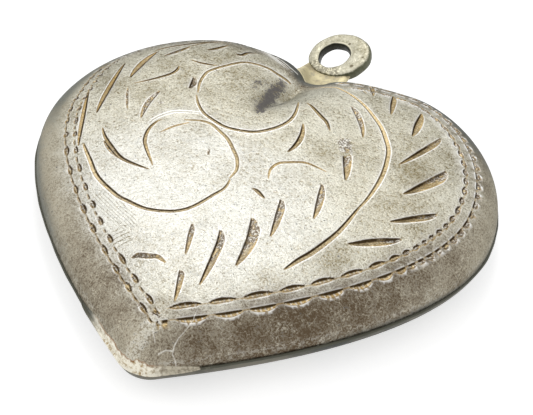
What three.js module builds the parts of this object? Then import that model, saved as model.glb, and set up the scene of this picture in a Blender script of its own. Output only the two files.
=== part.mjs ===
// Puffed heart pendant of sheet silver, lying on its back.
// Two die-formed shells meet rim to rim in one seam, which solder fills, and a
// small closed ring is soldered into the cleft. All lengths are in millimetres.
// X runs across the heart, Y from the point to the ring, Z out of the front.

import * as THREE from 'three';
import { mergeVertices } from 'three/addons/utils/BufferGeometryUtils.js';

// Heart outline. The cleft lies a little left of the middle, as the ring does.
const halfWidth = 16.0;
const widestY = 3.3;
const tipDepth = 17.1;
const tipRadius = 2.0;
const tipSlope = 39;
const cleftX = -0.6;
const cleftHeight = 13.6;
const cleftRadius = 0.5;
const cleftSlope = 58;
const lobeTopX = 6.6;
const lobeTopY = 15.8;
const cleftHandle = 1.8;
const lobeInnerHandle = 3.6;
const lobeOuterHandle = 3.6;
const shoulderHandle = 7.8;
const flankHandle = 9.6;
const tipHandle = 2.0;

// Shells.
const sheet = 0.5;
const frontRise = 3.15;
const frontCrown = 0.2;
const frontRoundness = 2.55;
const backRise = 2.1;
const backFlatDepth = 2.0;
const backRoundness = 2.3;
const shoulderInset = 7.2;
const crownInset = 10.0;

// Valley between the lobes, from the cleft down the face.
const valleySink = 0.42;
const valleyStart = 0.8;
const valleyLength = 7.0;
const valleyReach = 2.8;
const valleyDrift = 0.2;

// Seam and its solder.
const seamThickness = 0.2;
const beadOut = 0.2;
const solderIn = 0.3;

// Hanging ring and the solder web that holds it.
const ringOuterRadius = 2.45;
const ringHoleRadius = 1.28;
const ringThickness = 0.9;
const ringX = -0.5;
const ringRise = 5.4;
const ringY = cleftHeight + ringRise;
const ringZ = 0.4;
const ringLean = 16;
const ringTwist = -14;
const webZ = 0.1;
const webThickness = 1.1;
const webReach = 1.9;
const webGrip = 52;
const webEdge = 0.12;
const solderedGap = 0.1;

// Mesh fineness.
const arcSteps = 5;
const curveSteps = 12;
const wallRings = 6;
const wallHeightShare = 0.7;
const faceRings = 6;
const innerWallRings = 3;
const innerFaceRings = 3;
const ringSteps = 40;
const ringSectionSteps = 12;

const degree = Math.PI / 180;
const seamHalf = seamThickness / 2;

// An arc of a circle or ellipse, from one angle to another, both ends included.
function arc(cx, cy, radiusX, radiusY, from, to, steps) {
  const points = [];
  for (let i = 0; i <= steps; i += 1) {
    const angle = (from + ((to - from) * i) / steps) * degree;
    points.push(new THREE.Vector2(cx + radiusX * Math.cos(angle), cy + radiusY * Math.sin(angle)));
  }
  return points;
}

// A cubic curve, without its first point.
function curve(a, handleA, handleB, b, steps) {
  return new THREE.CubicBezierCurve(a, handleA, handleB, b).getPoints(steps).slice(1);
}

// One half of the outline, from the bottom of the cleft to the point. The side is 1
// for the right half and -1 for the left, which is the right one mirrored but for the cleft.
function halfOutline(fineness, side) {
  const bend = arcSteps * fineness;
  const run = curveSteps * fineness;
  const cleftY = cleftHeight + cleftRadius;
  const cleft = arc(cleftX * side, cleftY, cleftRadius, cleftRadius, -90, cleftSlope - 90, bend);
  const tip = arc(0, tipRadius - tipDepth, tipRadius, tipRadius, tipSlope - 90, -90, bend);
  const cleftEnd = cleft[bend];
  const tipStart = tip[0];
  const top = new THREE.Vector2(lobeTopX, lobeTopY);
  const widest = new THREE.Vector2(halfWidth, widestY);
  const slope = (angle, length) =>
    new THREE.Vector2(Math.cos(angle * degree), Math.sin(angle * degree)).multiplyScalar(length);
  const points = [
    ...cleft,
    ...curve(
      cleftEnd,
      slope(cleftSlope, cleftHandle).add(cleftEnd),
      new THREE.Vector2(lobeTopX - lobeInnerHandle, lobeTopY),
      top,
      run,
    ),
    ...curve(
      top,
      new THREE.Vector2(lobeTopX + lobeOuterHandle, lobeTopY),
      new THREE.Vector2(halfWidth, widestY + shoulderHandle),
      widest,
      run,
    ),
    ...curve(
      widest,
      new THREE.Vector2(halfWidth, widestY - flankHandle),
      slope(tipSlope, tipHandle).add(tipStart),
      tipStart,
      run,
    ),
    ...tip.slice(1),
  ];
  return points.map((p) => new THREE.Vector2(p.x * side, p.y));
}

// The whole outline, clockwise seen from the front, closed without a repeated point.
function wholeOutline(fineness) {
  const left = halfOutline(fineness, -1).slice(1, -1).reverse();
  return [...halfOutline(fineness, 1), ...left];
}

// Unit vectors that point into the heart, one for each outline point.
function inwardNormals(points) {
  return points.map((_, i) => {
    const before = points[(i + points.length - 1) % points.length];
    const after = points[(i + 1) % points.length];
    const along = after.clone().sub(before).normalize();
    return new THREE.Vector2(along.y, -along.x);
  });
}

const outline = wholeOutline(1);
const normals = inwardNormals(outline);
const fineOutline = wholeOutline(4);
const middle = new THREE.Vector2(0, widestY);

// The outline moved inwards by a distance, or outwards where it is negative.
function insetOutline(distance) {
  return outline.map((p, i) => p.clone().addScaledVector(normals[i], distance));
}

// Smoothed distance from the rim: every stretch of the rim adds its share, the
// nearest by far the most, so the face has no sharp ridge where two sides meet.
const falloff = 8;
const straightRimShare = 0.9817;
function softInset(p) {
  let sum = 0;
  for (let i = 0; i < fineOutline.length; i += 1) {
    const a = fineOutline[i];
    const b = fineOutline[(i + 1) % fineOutline.length];
    const reach = Math.hypot((a.x + b.x) / 2 - p.x, (a.y + b.y) / 2 - p.y);
    sum += a.distanceTo(b) / reach ** falloff;
  }
  return (straightRimShare / sum) ** (1 / (falloff - 1));
}

// Share of the full rise at a share of the shoulder's inset, and the inverse.
function swell(share, roundness) {
  return (1 - (1 - Math.min(share, 1)) ** roundness) ** (1 / roundness);
}
function swellInset(height, roundness) {
  return 1 - (1 - height ** roundness) ** (1 / roundness);
}

// Share of the front's rise that the valley takes away at a point. It is deepest a
// third of the way down, and its sides meet in a crease.
const valleyPeak = (1 / 3) * (2 / 3) ** 2;
function valleyShare(p) {
  const fall = cleftHeight - valleyStart - p.y;
  const down = THREE.MathUtils.clamp(fall / valleyLength, 0, 1);
  const aside = Math.min(Math.abs(p.x - cleftX + (cleftHeight - p.y) * valleyDrift) / valleyReach, 1);
  return ((valleySink * down * (1 - down) ** 2) / valleyPeak) * (1 - aside) ** 2;
}

function domeRise(inset, depthLost) {
  const share = (inset - depthLost) / (shoulderInset - depthLost);
  const crown = frontCrown * Math.min(inset / crownInset, 1) ** 2;
  return (frontRise - seamHalf - depthLost) * swell(share, frontRoundness) + crown;
}
function frontHeight(p, inset, depthLost) {
  return seamHalf + domeRise(inset, depthLost) - valleyShare(p) * domeRise(inset, 0);
}
function backHeight(p, inset, depthLost) {
  const share = (inset - depthLost) / (shoulderInset - depthLost);
  const dome = seamHalf + (backRise - seamHalf - depthLost) * swell(share, backRoundness);
  return Math.min(dome, backFlatDepth - depthLost);
}

// Rings of a dome from its rim to its middle. The wall's rings follow the
// rim at even heights, and the face's rings shrink from the last of them to the middle.
function domeRings(height, roundness, startInset, walls, faces) {
  const rings = [];
  const lastShare = swellInset(wallHeightShare, roundness);
  const lastInset = startInset + lastShare * (shoulderInset - startInset);
  for (let i = 0; i < walls; i += 1) {
    const rise = (wallHeightShare * i) / (walls - 1);
    const inset = startInset + swellInset(rise, roundness) * (shoulderInset - startInset);
    const blend = (inset / lastInset) ** 2;
    rings.push(
      insetOutline(inset).map((p) => {
        const depth = i === 0 ? inset : inset + (softInset(p) - inset) * blend;
        return new THREE.Vector3(p.x, p.y, height(p, depth, startInset));
      }),
    );
  }
  const wallTop = insetOutline(lastInset);
  for (let i = 1; i < faces; i += 1) {
    const share = i / faces;
    rings.push(
      wallTop.map((start) => {
        const p = start.clone().lerp(middle, share);
        return new THREE.Vector3(p.x, p.y, height(p, softInset(p), startInset));
      }),
    );
  }
  return rings;
}

// A closed skin over a run of rings with as many points each. With poles it is
// capped at both ends, and without them its last ring joins its first.
function skin(rings, poles) {
  const count = rings[0].length;
  const corners = rings.flat();
  const index = [];
  const last = poles ? rings.length - 1 : rings.length;
  for (let r = 0; r < last; r += 1) {
    const next = (r + 1) % rings.length;
    for (let i = 0; i < count; i += 1) {
      const j = (i + 1) % count;
      const a = r * count + i;
      const b = r * count + j;
      const c = next * count + i;
      const d = next * count + j;
      index.push(a, b, d, a, d, c);
    }
  }
  if (poles) {
    const first = corners.push(poles[0]) - 1;
    const final = corners.push(poles[1]) - 1;
    const lastRow = (rings.length - 1) * count;
    for (let i = 0; i < count; i += 1) {
      const j = (i + 1) % count;
      index.push(first, j, i, final, lastRow + i, lastRow + j);
    }
  }
  const geometry = new THREE.BufferGeometry().setFromPoints(corners);
  geometry.setIndex(index);
  geometry.computeVertexNormals();
  return geometry;
}

// One shell: its outer face from the middle out to the rim, the flat rim, and
// its inner face back to the middle. The side is 1 for the front, -1 for the back.
function shell(height, roundness, side) {
  const outer = domeRings(height, roundness, 0, wallRings, faceRings).reverse();
  const inner = domeRings(height, roundness, sheet, innerWallRings, innerFaceRings);
  const rings = [...outer, ...inner];
  const depth = softInset(middle);
  const poles = [
    new THREE.Vector3(middle.x, middle.y, height(middle, depth, 0)),
    new THREE.Vector3(middle.x, middle.y, height(middle, depth, sheet)),
  ];
  if (side < 0) {
    const turnOver = (p) => new THREE.Vector3(p.x, p.y, -p.z);
    return skin(
      [...rings].reverse().map((ring) => ring.map(turnOver)),
      [...poles].reverse().map(turnOver),
    );
  }
  return skin(rings, poles);
}

// Solder that fills the seam between the two flat rims and stands out as a bead.
function seamGeometry() {
  const beadSteps = 4;
  const section = [
    [sheet + solderIn, -seamHalf],
    [sheet + solderIn, seamHalf],
  ];
  for (let i = 0; i <= beadSteps; i += 1) {
    const angle = (90 - (180 * i) / beadSteps) * degree;
    section.push([-beadOut * Math.cos(angle), seamHalf * Math.sin(angle)]);
  }
  return skin(
    section.map(([inset, z]) => insetOutline(inset).map((p) => new THREE.Vector3(p.x, p.y, z))),
    null,
  );
}

// Closed ring with a flattened round section.
function ringGeometry() {
  const wire = (ringOuterRadius - ringHoleRadius) / 2;
  const points = [];
  for (let i = 0; i <= ringSectionSteps; i += 1) {
    const angle = (2 * Math.PI * i) / ringSectionSteps;
    points.push(
      new THREE.Vector2(
        ringHoleRadius + wire + wire * Math.cos(angle),
        (ringThickness / 2) * Math.sin(angle),
      ),
    );
  }
  const geometry = new THREE.LatheGeometry(points, ringSteps);
  geometry.rotateX(Math.PI / 2);
  return geometry;
}

// Solder web between the cleft and the ring: its lower edge follows both lobes
// and its upper edge hugs the ring.
function webGeometry() {
  const lobes = insetOutline(-(beadOut + solderedGap));
  const count = lobes.length;
  const near = (i) => lobes[(i + count) % count];
  let right = 0;
  while (near(right + 1).x < ringX + webReach) right += 1;
  let left = 0;
  while (near(left - 1).x > ringX - webReach) left -= 1;
  const lower = [];
  for (let i = left; i <= right; i += 1) lower.push(near(i));
  const reachOf = (tilt) =>
    ringOuterRadius * Math.cos(tilt * degree) +
    (ringThickness / 2) * Math.abs(Math.sin(tilt * degree)) +
    solderedGap;
  const upper = arc(
    ringX,
    ringY,
    reachOf(ringTwist),
    reachOf(ringLean),
    webGrip - 90,
    -90 - webGrip,
    arcSteps * 2,
  );
  const shape = new THREE.Shape([...lower, ...upper]);
  const geometry = new THREE.ExtrudeGeometry(shape, {
    depth: webThickness - 2 * webEdge,
    bevelEnabled: true,
    bevelThickness: webEdge,
    bevelSize: webEdge,
    bevelOffset: -webEdge,
    bevelSegments: 1,
    curveSegments: 1,
  });
  geometry.translate(0, 0, webZ - webThickness / 2 + webEdge);
  geometry.deleteAttribute('normal');
  geometry.deleteAttribute('uv');
  const merged = mergeVertices(geometry, 1e-5);
  merged.computeVertexNormals();
  return merged;
}

function silver(name, color, roughness) {
  return new THREE.MeshStandardMaterial({ name, color, roughness, metalness: 1 });
}

const faceSilver = silver('face_silver', 0xcfc8b8, 0.42);
const backSilver = silver('back_silver', 0x9a9484, 0.5);
const ringSilver = silver('ring_silver', 0xb9b39f, 0.4);
const solder = silver('solder', 0xd9d0a8, 0.45);

const pendant = new THREE.Group();
pendant.name = 'heart_pendant';

function add(name, geometry, material, parent) {
  const mesh = new THREE.Mesh(geometry, material);
  mesh.name = name;
  parent.add(mesh);
}

add('front_shell', shell(frontHeight, frontRoundness, 1), faceSilver, pendant);
add('back_shell', shell(backHeight, backRoundness, -1), backSilver, pendant);
add('seam_solder', seamGeometry(), solder, pendant);
add('ring_solder', webGeometry(), solder, pendant);

const ringSeat = new THREE.Group();
ringSeat.position.set(ringX, ringY, ringZ);
ringSeat.rotation.set(ringLean * degree, ringTwist * degree, 0);
add('hanging_ring', ringGeometry(), ringSilver, ringSeat);
pendant.add(ringSeat);

// The origin is under the middle of the whole piece, on the surface that it lies on.
pendant.updateMatrixWorld(true);
const box = new THREE.Box3().setFromObject(pendant, true);
pendant.position.set(-(box.min.x + box.max.x) / 2, -(box.min.y + box.max.y) / 2, -box.min.z);

export default pendant;
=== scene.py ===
import math

import bpy
import numpy as np
from mathutils import Matrix, Vector
from mathutils.geometry import delaunay_2d_cdt


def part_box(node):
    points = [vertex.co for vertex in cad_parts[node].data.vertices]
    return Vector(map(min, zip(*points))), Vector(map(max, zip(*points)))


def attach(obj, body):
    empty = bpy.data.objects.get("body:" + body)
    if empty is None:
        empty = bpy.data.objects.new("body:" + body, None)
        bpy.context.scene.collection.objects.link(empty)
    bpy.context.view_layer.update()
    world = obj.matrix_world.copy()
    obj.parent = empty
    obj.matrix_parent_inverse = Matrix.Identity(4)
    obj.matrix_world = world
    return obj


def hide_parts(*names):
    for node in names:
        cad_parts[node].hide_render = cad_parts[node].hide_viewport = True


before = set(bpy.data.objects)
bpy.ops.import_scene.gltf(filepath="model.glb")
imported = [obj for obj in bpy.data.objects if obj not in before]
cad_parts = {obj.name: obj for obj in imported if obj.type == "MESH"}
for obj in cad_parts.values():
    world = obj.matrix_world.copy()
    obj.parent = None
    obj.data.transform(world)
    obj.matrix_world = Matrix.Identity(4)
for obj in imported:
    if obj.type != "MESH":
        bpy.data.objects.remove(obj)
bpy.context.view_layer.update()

# Front shell: the domed front half of the heart, die-formed sheet silver that was engraved
# by hand after it was soldered. Its wall is tarnished, and its face is rubbed bright.
# Lengths are in millimetres about the heart's own middle, on the seam.
HALF_WIDTH = 16.0
WIDEST_Y = 3.3
TIP_DEPTH = 17.1
TIP_RADIUS = 2.0
TIP_SLOPE = 39
CLEFT_X = -0.6
CLEFT_HEIGHT = 13.6
CLEFT_RADIUS = 0.5
CLEFT_SLOPE = 58
LOBE_TOP = (6.6, 15.8)
CLEFT_HANDLE = 1.8
LOBE_INNER_HANDLE = 3.6
LOBE_OUTER_HANDLE = 3.6
SHOULDER_HANDLE = 7.8
FLANK_HANDLE = 9.6
TIP_HANDLE = 2.0
SHEET = 0.5
SEAM_HALF = 0.1
FRONT_RISE = 3.15
FRONT_CROWN = 0.2
FRONT_ROUNDNESS = 2.55
SHOULDER_INSET = 7.2
CROWN_INSET = 10.0
WALL_TOP_SHARE = 0.7
VALLEY_SINK = 0.42
VALLEY_START = 0.8
VALLEY_LENGTH = 7.0
VALLEY_REACH = 2.8
VALLEY_DRIFT = 0.2

MM = 0.001
front_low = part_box("front_shell")[0]
SHIFT_Y = front_low[1] / MM + TIP_DEPTH
SHIFT_Z = front_low[2] / MM - SEAM_HALF


def in_frame(points):
    """Millimetres about the heart's middle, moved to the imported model's place, in metres."""
    return (np.asarray(points, float) + (0.0, SHIFT_Y, SHIFT_Z)) * MM


def arc(cx, cy, radius, start, end, steps):
    """Points of a circle's arc: centre plus radius times (cos, sin) of even angles."""
    angle = np.radians(np.linspace(start, end, steps + 1))
    return np.column_stack([cx + radius * np.cos(angle), cy + radius * np.sin(angle)])


def bezier(a, b, c, d, steps):
    """Cubic curve from a to d with handles b and c, without its first point."""
    t = np.linspace(0, 1, steps + 1)[1:, None]
    a, b, c, d = (np.asarray(p, float) for p in (a, b, c, d))
    return (1 - t) ** 3 * a + 3 * (1 - t) ** 2 * t * b + 3 * (1 - t) * t * t * c + t**3 * d


def half_outline(side, fineness):
    """One half of the rim: cleft arc, three cubics over lobe and flank, and the point's arc."""
    bend = 5 * fineness
    run = 12 * fineness
    cleft = arc(CLEFT_X * side, CLEFT_HEIGHT + CLEFT_RADIUS, CLEFT_RADIUS, -90, CLEFT_SLOPE - 90, bend)
    tip = arc(0, TIP_RADIUS - TIP_DEPTH, TIP_RADIUS, TIP_SLOPE - 90, -90, bend)
    cleft_way = np.array([math.cos(math.radians(CLEFT_SLOPE)), math.sin(math.radians(CLEFT_SLOPE))])
    tip_way = np.array([math.cos(math.radians(TIP_SLOPE)), math.sin(math.radians(TIP_SLOPE))])
    top_x, top_y = LOBE_TOP
    widest = (HALF_WIDTH, WIDEST_Y)
    inner_handle = (top_x - LOBE_INNER_HANDLE, top_y)
    outer_handle = (top_x + LOBE_OUTER_HANDLE, top_y)
    shoulder = (HALF_WIDTH, WIDEST_Y + SHOULDER_HANDLE)
    flank = (HALF_WIDTH, WIDEST_Y - FLANK_HANDLE)
    pieces = [
        cleft,
        bezier(cleft[-1], cleft[-1] + CLEFT_HANDLE * cleft_way, inner_handle, LOBE_TOP, run),
        bezier(LOBE_TOP, outer_handle, shoulder, widest, run),
        bezier(widest, flank, tip[0] + TIP_HANDLE * tip_way, tip[0], run),
        tip[1:],
    ]
    return np.vstack(pieces) * (side, 1)


def heart_outline(fineness):
    """The whole rim, clockwise seen from the front, from the cleft round to the cleft."""
    return np.vstack([half_outline(1, fineness), half_outline(-1, fineness)[1:-1][::-1]])


def inward(points):
    """Unit vectors square to a clockwise closed line, pointing into it."""
    along = np.roll(points, -1, axis=0) - np.roll(points, 1, axis=0)
    along /= np.linalg.norm(along, axis=1)[:, None]
    return np.column_stack([along[:, 1], -along[:, 0]])


def climb(value, low, high):
    """Rises evenly from 0 to 1 as the value goes from low to high, or falls where low is more."""
    return np.clip((value - low) / (high - low), 0, 1)


def bell(gap, width):
    """1 where the gap is 0, and falling off on both sides as exp(-(gap / width)^2)."""
    return np.exp(-((gap / width) ** 2))


STRAIGHT_RIM = 0.9817
BLOCK = 4000
measure_outline = heart_outline(4)


def soft_inset(points):
    """Smoothed distance from the rim: (share / sum of rim length / distance^8) ^ (1/7). The
    share is 5 pi / 16, which gives the true distance from a straight rim."""
    ahead = np.roll(measure_outline, -1, axis=0)
    centres = (measure_outline + ahead) / 2
    lengths = np.linalg.norm(ahead - measure_outline, axis=1)
    inset = np.empty(len(points))
    for start in range(0, len(points), BLOCK):
        block = points[start : start + BLOCK, None] - centres
        reach = (block**2).sum(axis=2)
        inset[start : start + BLOCK] = (STRAIGHT_RIM / (lengths / reach**4).sum(axis=1)) ** (1 / 7)
    return inset


def swell(share, roundness):
    """Share of the full rise: (1 - (1 - share)^n)^(1/n), upright at the rim and level at 1."""
    return (1 - (1 - np.minimum(share, 1)) ** roundness) ** (1 / roundness)


def swell_share(height, roundness):
    """The share at which the rise reaches a height, the inverse of swell."""
    return 1 - (1 - height**roundness) ** (1 / roundness)


def valley_share(points):
    """Share of the rise that the valley under the cleft takes: 27/4 * down * (1 - down)^2,
    which peaks at 1, times the sink and (1 - aside)^2, so that its sides meet in a crease."""
    fall = CLEFT_HEIGHT - points[:, 1]
    down = climb(fall, VALLEY_START, VALLEY_START + VALLEY_LENGTH)
    aside = np.minimum(np.abs(points[:, 0] - CLEFT_X + fall * VALLEY_DRIFT) / VALLEY_REACH, 1)
    return VALLEY_SINK * 27 / 4 * down * (1 - down) ** 2 * (1 - aside) ** 2


def dome_rise(inset, lost):
    """Height of the plain dome above the seam: its rise times swell, and a slight crown."""
    share = (inset - lost) / (SHOULDER_INSET - lost)
    crown = FRONT_CROWN * np.minimum(inset / CROWN_INSET, 1) ** 2
    return (FRONT_RISE - SEAM_HALF - lost) * swell(share, FRONT_ROUNDNESS) + crown


def front_height(points, inset, lost=0.0):
    """Height of the front at points of the plan, or of its inner face with the sheet lost."""
    return SEAM_HALF + dome_rise(inset, lost) - valley_share(points) * dome_rise(inset, 0.0)


def dome_rings(outline, height, roundness, lost, walls, faces):
    """Rings of a dome: walls at even heights that follow the rim, then faces that shrink
    in even steps from the wall's top to the middle. Returns rings x points x 3."""
    normals = inward(outline)
    last = lost + swell_share(WALL_TOP_SHARE, roundness) * (SHOULDER_INSET - lost)
    middle = np.array([0.0, WIDEST_Y])
    rings = []
    for rise in np.linspace(0, WALL_TOP_SHARE, walls):
        inset = lost + swell_share(rise, roundness) * (SHOULDER_INSET - lost)
        flat = outline + inset * normals
        depth = inset + (soft_inset(flat) - inset) * (inset / last) ** 2 if rise > 0 else inset
        rings.append(np.column_stack([flat, height(flat, depth, lost) * np.ones(len(flat))]))
    for share in np.arange(1, faces) / faces:
        flat = (outline + last * normals) * (1 - share) + middle * share
        rings.append(np.column_stack([flat, height(flat, soft_inset(flat), lost)]))
    return np.array(rings)


def strip(towards, away):
    """Quads between two closed rows of corner numbers, seen from the side they face."""
    return np.column_stack([towards, away, np.roll(away, -1), np.roll(towards, -1)])


def ring_rows(rings, count, first=0):
    """Rows of corner numbers for points that are stored ring by ring, count to a ring."""
    return list(first + np.arange(rings * count).reshape(rings, count))


def strips(rows, closed=False):
    """Strips from each closed row to the next, and from the last to the first where closed."""
    faces = []
    for away, towards in zip(rows, rows[1:] + rows[:1] if closed else rows[1:]):
        faces += strip(towards, away).tolist()
    return faces


def fan(pole, row):
    """Triangles from a pole to each step of a closed row of corner numbers."""
    return [(pole, a, b) for a, b in zip(row.tolist(), np.roll(row, -1).tolist())]


def smooth_mesh(name, points, faces):
    """A mesh object at the origin from points in metres and faces of three or four corners."""
    mesh = bpy.data.meshes.new(name)
    mesh.from_pydata(points.tolist(), [], faces)
    mesh.polygons.foreach_set("use_smooth", np.ones(len(mesh.polygons), bool))
    mesh.update()
    made = bpy.data.objects.new(name, mesh)
    bpy.context.scene.collection.objects.link(made)
    return made


STEP = 0.12
CURVE_STEPS = 24
CUT_MARKS = {"rough": 0.0, "tan": 1.0, "dark": 1.0, "ticks": 0.0, "bright": 1.0, "pale": 0.5}
cuts = []


def lengths_along(line):
    """How far each point of a line lies along it."""
    return np.r_[0, np.cumsum(np.linalg.norm(np.diff(line, axis=0), axis=1))]


def walked(line, start, end):
    """The stretch of a line between two lengths along it, in even steps."""
    way = lengths_along(line)
    spots = np.linspace(start, end, max(4, round((end - start) / STEP)))
    return np.column_stack([np.interp(spots, way, line[:, k]) for k in (0, 1)])


def through(points):
    """A smooth line through given points: a Catmull-Rom curve, walked in even steps."""
    p = np.asarray(points, float)
    p = np.vstack([2 * p[0] - p[1], p, 2 * p[-1] - p[-2]])
    t = np.linspace(0, 1, CURVE_STEPS, endpoint=False)[:, None]
    runs = []
    for a, b, c, d in zip(p, p[1:], p[2:], p[3:]):
        bend = (c - a) * t + (2 * a - 5 * b + 4 * c - d) * t**2 + (3 * b - a - 3 * c + d) * t**3
        runs.append(b + bend / 2)
    fine = np.vstack(runs + [p[-2:-1]])
    return walked(fine, 0, lengths_along(fine)[-1])


def square_to(path):
    """Directions of length one, square to a line and to its right."""
    along = np.gradient(path, axis=0)
    along /= np.linalg.norm(along, axis=1)[:, None]
    return np.column_stack([along[:, 1], -along[:, 0]])


def cut(points, width, side=1, fat=0.5, blunt=0.6, **marks):
    """Adds one graver's cut. The points are its steep edge, and its long slope lies to
    the right of travel, or to the left where side is -1. It is widest at the share fat, and
    its ends are blunter the smaller blunt is. Of its marks, rough is the share of its length,
    from its start, that the graver left torn. The others are the strengths of its brown oxide
    (tan), of painted shade on its steep edge, of its raised lip with a painted highlight
    (bright), of its pale gold (pale) and of its cross marks (ticks)."""
    path = through(points) if isinstance(points, list) else points
    share = np.linspace(0, 1, len(path))
    rise = np.where(share < fat, share / max(fat, 1e-6), (1 - share) / (1 - fat + 1e-6))
    shape = {
        "path": path,
        "across": square_to(path) * side,
        "width": width * np.sin(np.clip(rise, 0, 1) * np.pi / 2) ** blunt,
        "share": share,
        "length": lengths_along(path)[-1],
    }
    cuts.append({**CUT_MARKS, **marks, **shape})


# Upper scroll: a closed round line under the cleft, with a punched drop where it starts.
cut(
    [(-6.55, 5.9), (-6.95, 7.0), (-7.1, 8.1), (-6.9, 9.1), (-5.5, 11.2), (-4.5, 11.7), (-3.5, 11.8),
     (-2.9, 11.75), (-2.0, 11.8), (-1.6, 11.7)],
    0.24, fat=0.9, blunt=0.3, dark=0.8, bright=1.5, pale=0.8,
)
cut(
    [(-6.5, 5.7), (-5.9, 4.8), (-5.1, 4.0), (-4.0, 3.5), (-3.1, 3.3), (-2.0, 3.5), (-1.3, 3.8),
     (-0.6, 4.5), (-0.1, 5.3), (0.2, 6.2), (0.2, 7.3), (-0.1, 8.9)],
    0.25, blunt=0.4, bright=1.6, pale=0.8,
)
cut([(-7.6, 7.6), (-7.3, 6.1)], 0.38, side=-1, rough=1.0, dark=1.4)
cut([(-8.7, 9.6), (-7.9, 9.6), (-6.7, 9.8)], 0.18)

# Lower scroll: a spiral line from the left flank that winds into the left lobe.
cut(
    [(-11.0, -2.5), (-9.8, -3.8), (-8.5, -5.2), (-6.7, -6.3), (-5.7, -6.6), (-4.4, -6.8), (-3.2, -6.5),
     (-2.4, -6.0), (-1.8, -5.2), (-1.2, -3.8), (-0.8, -2.8), (-0.8, -1.8)],
    0.27, fat=0.3, blunt=0.3, dark=1.1, bright=1.3, pale=0.8,
)
cut(
    [(-0.8, -1.8), (-0.7, -0.7), (-1.1, 0.4), (-1.7, 1.2), (-2.5, 2.1), (-3.4, 2.7), (-4.2, 3.1),
     (-5.0, 3.1), (-6.1, 2.6)],
    0.23, side=-1, blunt=0.35, dark=0.7, bright=1.3, pale=0.8,
)
cut([(-7.4, 2.0), (-7.7, 1.4), (-7.8, 0.4), (-7.5, -0.8), (-6.7, -1.9), (-5.8, -2.9)], 0.22, side=-1)
cut([(-6.9, 0.6), (-6.6, 1.3), (-6.2, 1.9), (-5.6, 2.5)], 0.14, dark=0.3)
cut([(-10.6, -0.6), (-9.9, -1.4), (-9.1, -2.1), (-8.2, -2.8), (-7.4, -3.1), (-5.8, -3.3)], 0.28, dark=1.4)
cut([(-9.9, -1.8), (-8.9, -2.6), (-8.1, -3.15)], 0.2, dark=1.4, ticks=1.0)

# A bright band beside it, which is only the raised burr of a cut with a painted highlight.
band = [(-8.05, 0.9), (-7.9, 1.8), (-7.45, 2.7), (-6.85, 3.3), (-5.4, 3.85), (-4.7, 3.7)]
cut(band, 0.12, tan=0.0, dark=0.0, bright=4.0)

# Great arc: a long sweep from the cleft round the right lobe, cut in two goes.
cut(
    [(-0.3, 11.8), (1.3, 12.2), (2.3, 11.8), (3.3, 11.2), (4.3, 10.4), (5.1, 9.6), (6.0, 8.6),
     (6.7, 7.5), (7.3, 6.3), (7.65, 4.7), (7.8, 3.3), (7.8, 1.8), (7.7, 0.4), (7.5, -0.8)],
    0.27, side=-1, fat=0.7, blunt=0.5, dark=0.9, bright=1.3, pale=0.8,
)
cut(
    [(7.7, 0.5), (7.5, -0.8), (7.3, -2.2), (7.1, -3.2), (6.8, -4.2), (6.3, -5.6), (5.8, -6.7), (5.4, -7.9)],
    0.34, side=-1, fat=0.75, dark=1.4, pale=0.7,
)

# Rays: short fat cuts between the great arc and the border, widest at the border.
cut([(3.5, 14.0), (4.3, 12.3)], 0.29, side=-1, fat=0.3)
cut([(3.3, 12.7), (3.8, 12.3)], 0.2, side=-1, tan=0.4)
cut([(5.5, 13.3), (5.8, 11.8), (6.2, 10.5)], 0.36, side=-1, fat=0.35, dark=1.2)
cut([(8.0, 12.1), (8.05, 10.4), (8.3, 8.8)], 0.5, side=-1)
cut([(10.1, 9.9), (9.3, 7.6), (8.5, 5.3)], 0.44, side=-1, fat=0.3, rough=0.2)
cut([(11.5, 6.5), (10.6, 4.5), (9.7, 2.5)], 0.72, side=-1, fat=0.3, rough=0.35)
cut([(12.3, 2.0), (11.1, 0.9), (9.8, -0.5)], 0.5, side=-1, fat=0.35, rough=0.3, dark=1.3)
cut([(11.0, -1.5), (9.5, -2.5), (8.1, -3.8)], 0.58, side=-1, fat=0.45, rough=0.3, dark=1.3)

# Leaves: drop-shaped cuts that fan out inside the great arc, torn at their wide ends.
cut([(-1.2, -6.9), (-0.9, -8.2), (-0.4, -9.7)], 0.31, side=-1, fat=0.3, rough=0.5)
cut([(0.6, -6.6), (0.95, -8.2), (1.4, -11.6)], 0.46, side=-1, fat=0.22, rough=0.5, dark=1.3)
cut([(1.9, -4.6), (2.4, -6.7), (2.7, -9.1)], 0.7, side=-1, fat=0.3, rough=0.6)
cut([(2.85, -2.0), (3.15, -3.6), (3.6, -5.7)], 0.46, side=-1, fat=0.3, rough=0.5)
cut([(4.65, 0.7), (4.95, -0.9), (5.4, -2.8)], 0.44, side=-1, fat=0.4, rough=0.55)
cut([(-0.15, -11.0), (0.15, -12.0), (0.6, -13.4)], 0.34, side=-1, fat=0.16, rough=0.35)
cut([(0.8, -1.9), (1.3, -1.95), (2.0, -2.5)], 0.28, fat=0.4)
cut(
    [(-3.3, -11.2), (-3.1, -10.7), (-2.4, -10.5), (-1.8, -10.4), (-1.1, -10.8)],
    0.45, fat=0.25, rough=0.6, dark=0.5,
)
cut([(1.2, 6.3), (1.5, 4.9), (1.55, 3.8), (1.45, 2.7)], 0.34, side=-1, fat=0.6, dark=1.2)
cut([(0.5, 8.9), (1.1, 8.6), (2.0, 7.9), (2.7, 7.3), (3.2, 6.4)], 0.26)
cut([(3.4, 10.0), (4.2, 8.9), (4.9, 7.8), (5.4, 6.8)], 0.35, side=-1, fat=0.3, rough=0.7)
cut([(4.9, 4.25), (5.35, 3.1), (5.9, 1.8)], 0.55, side=-1, fat=0.06, rough=0.35, dark=1.5)
cut([(1.4, -0.6), (1.1, 0.4), (1.3, 1.3), (1.9, 1.8), (2.9, 2.3), (3.9, 2.2), (4.6, 2.0)], 0.2, dark=0.5)

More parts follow.
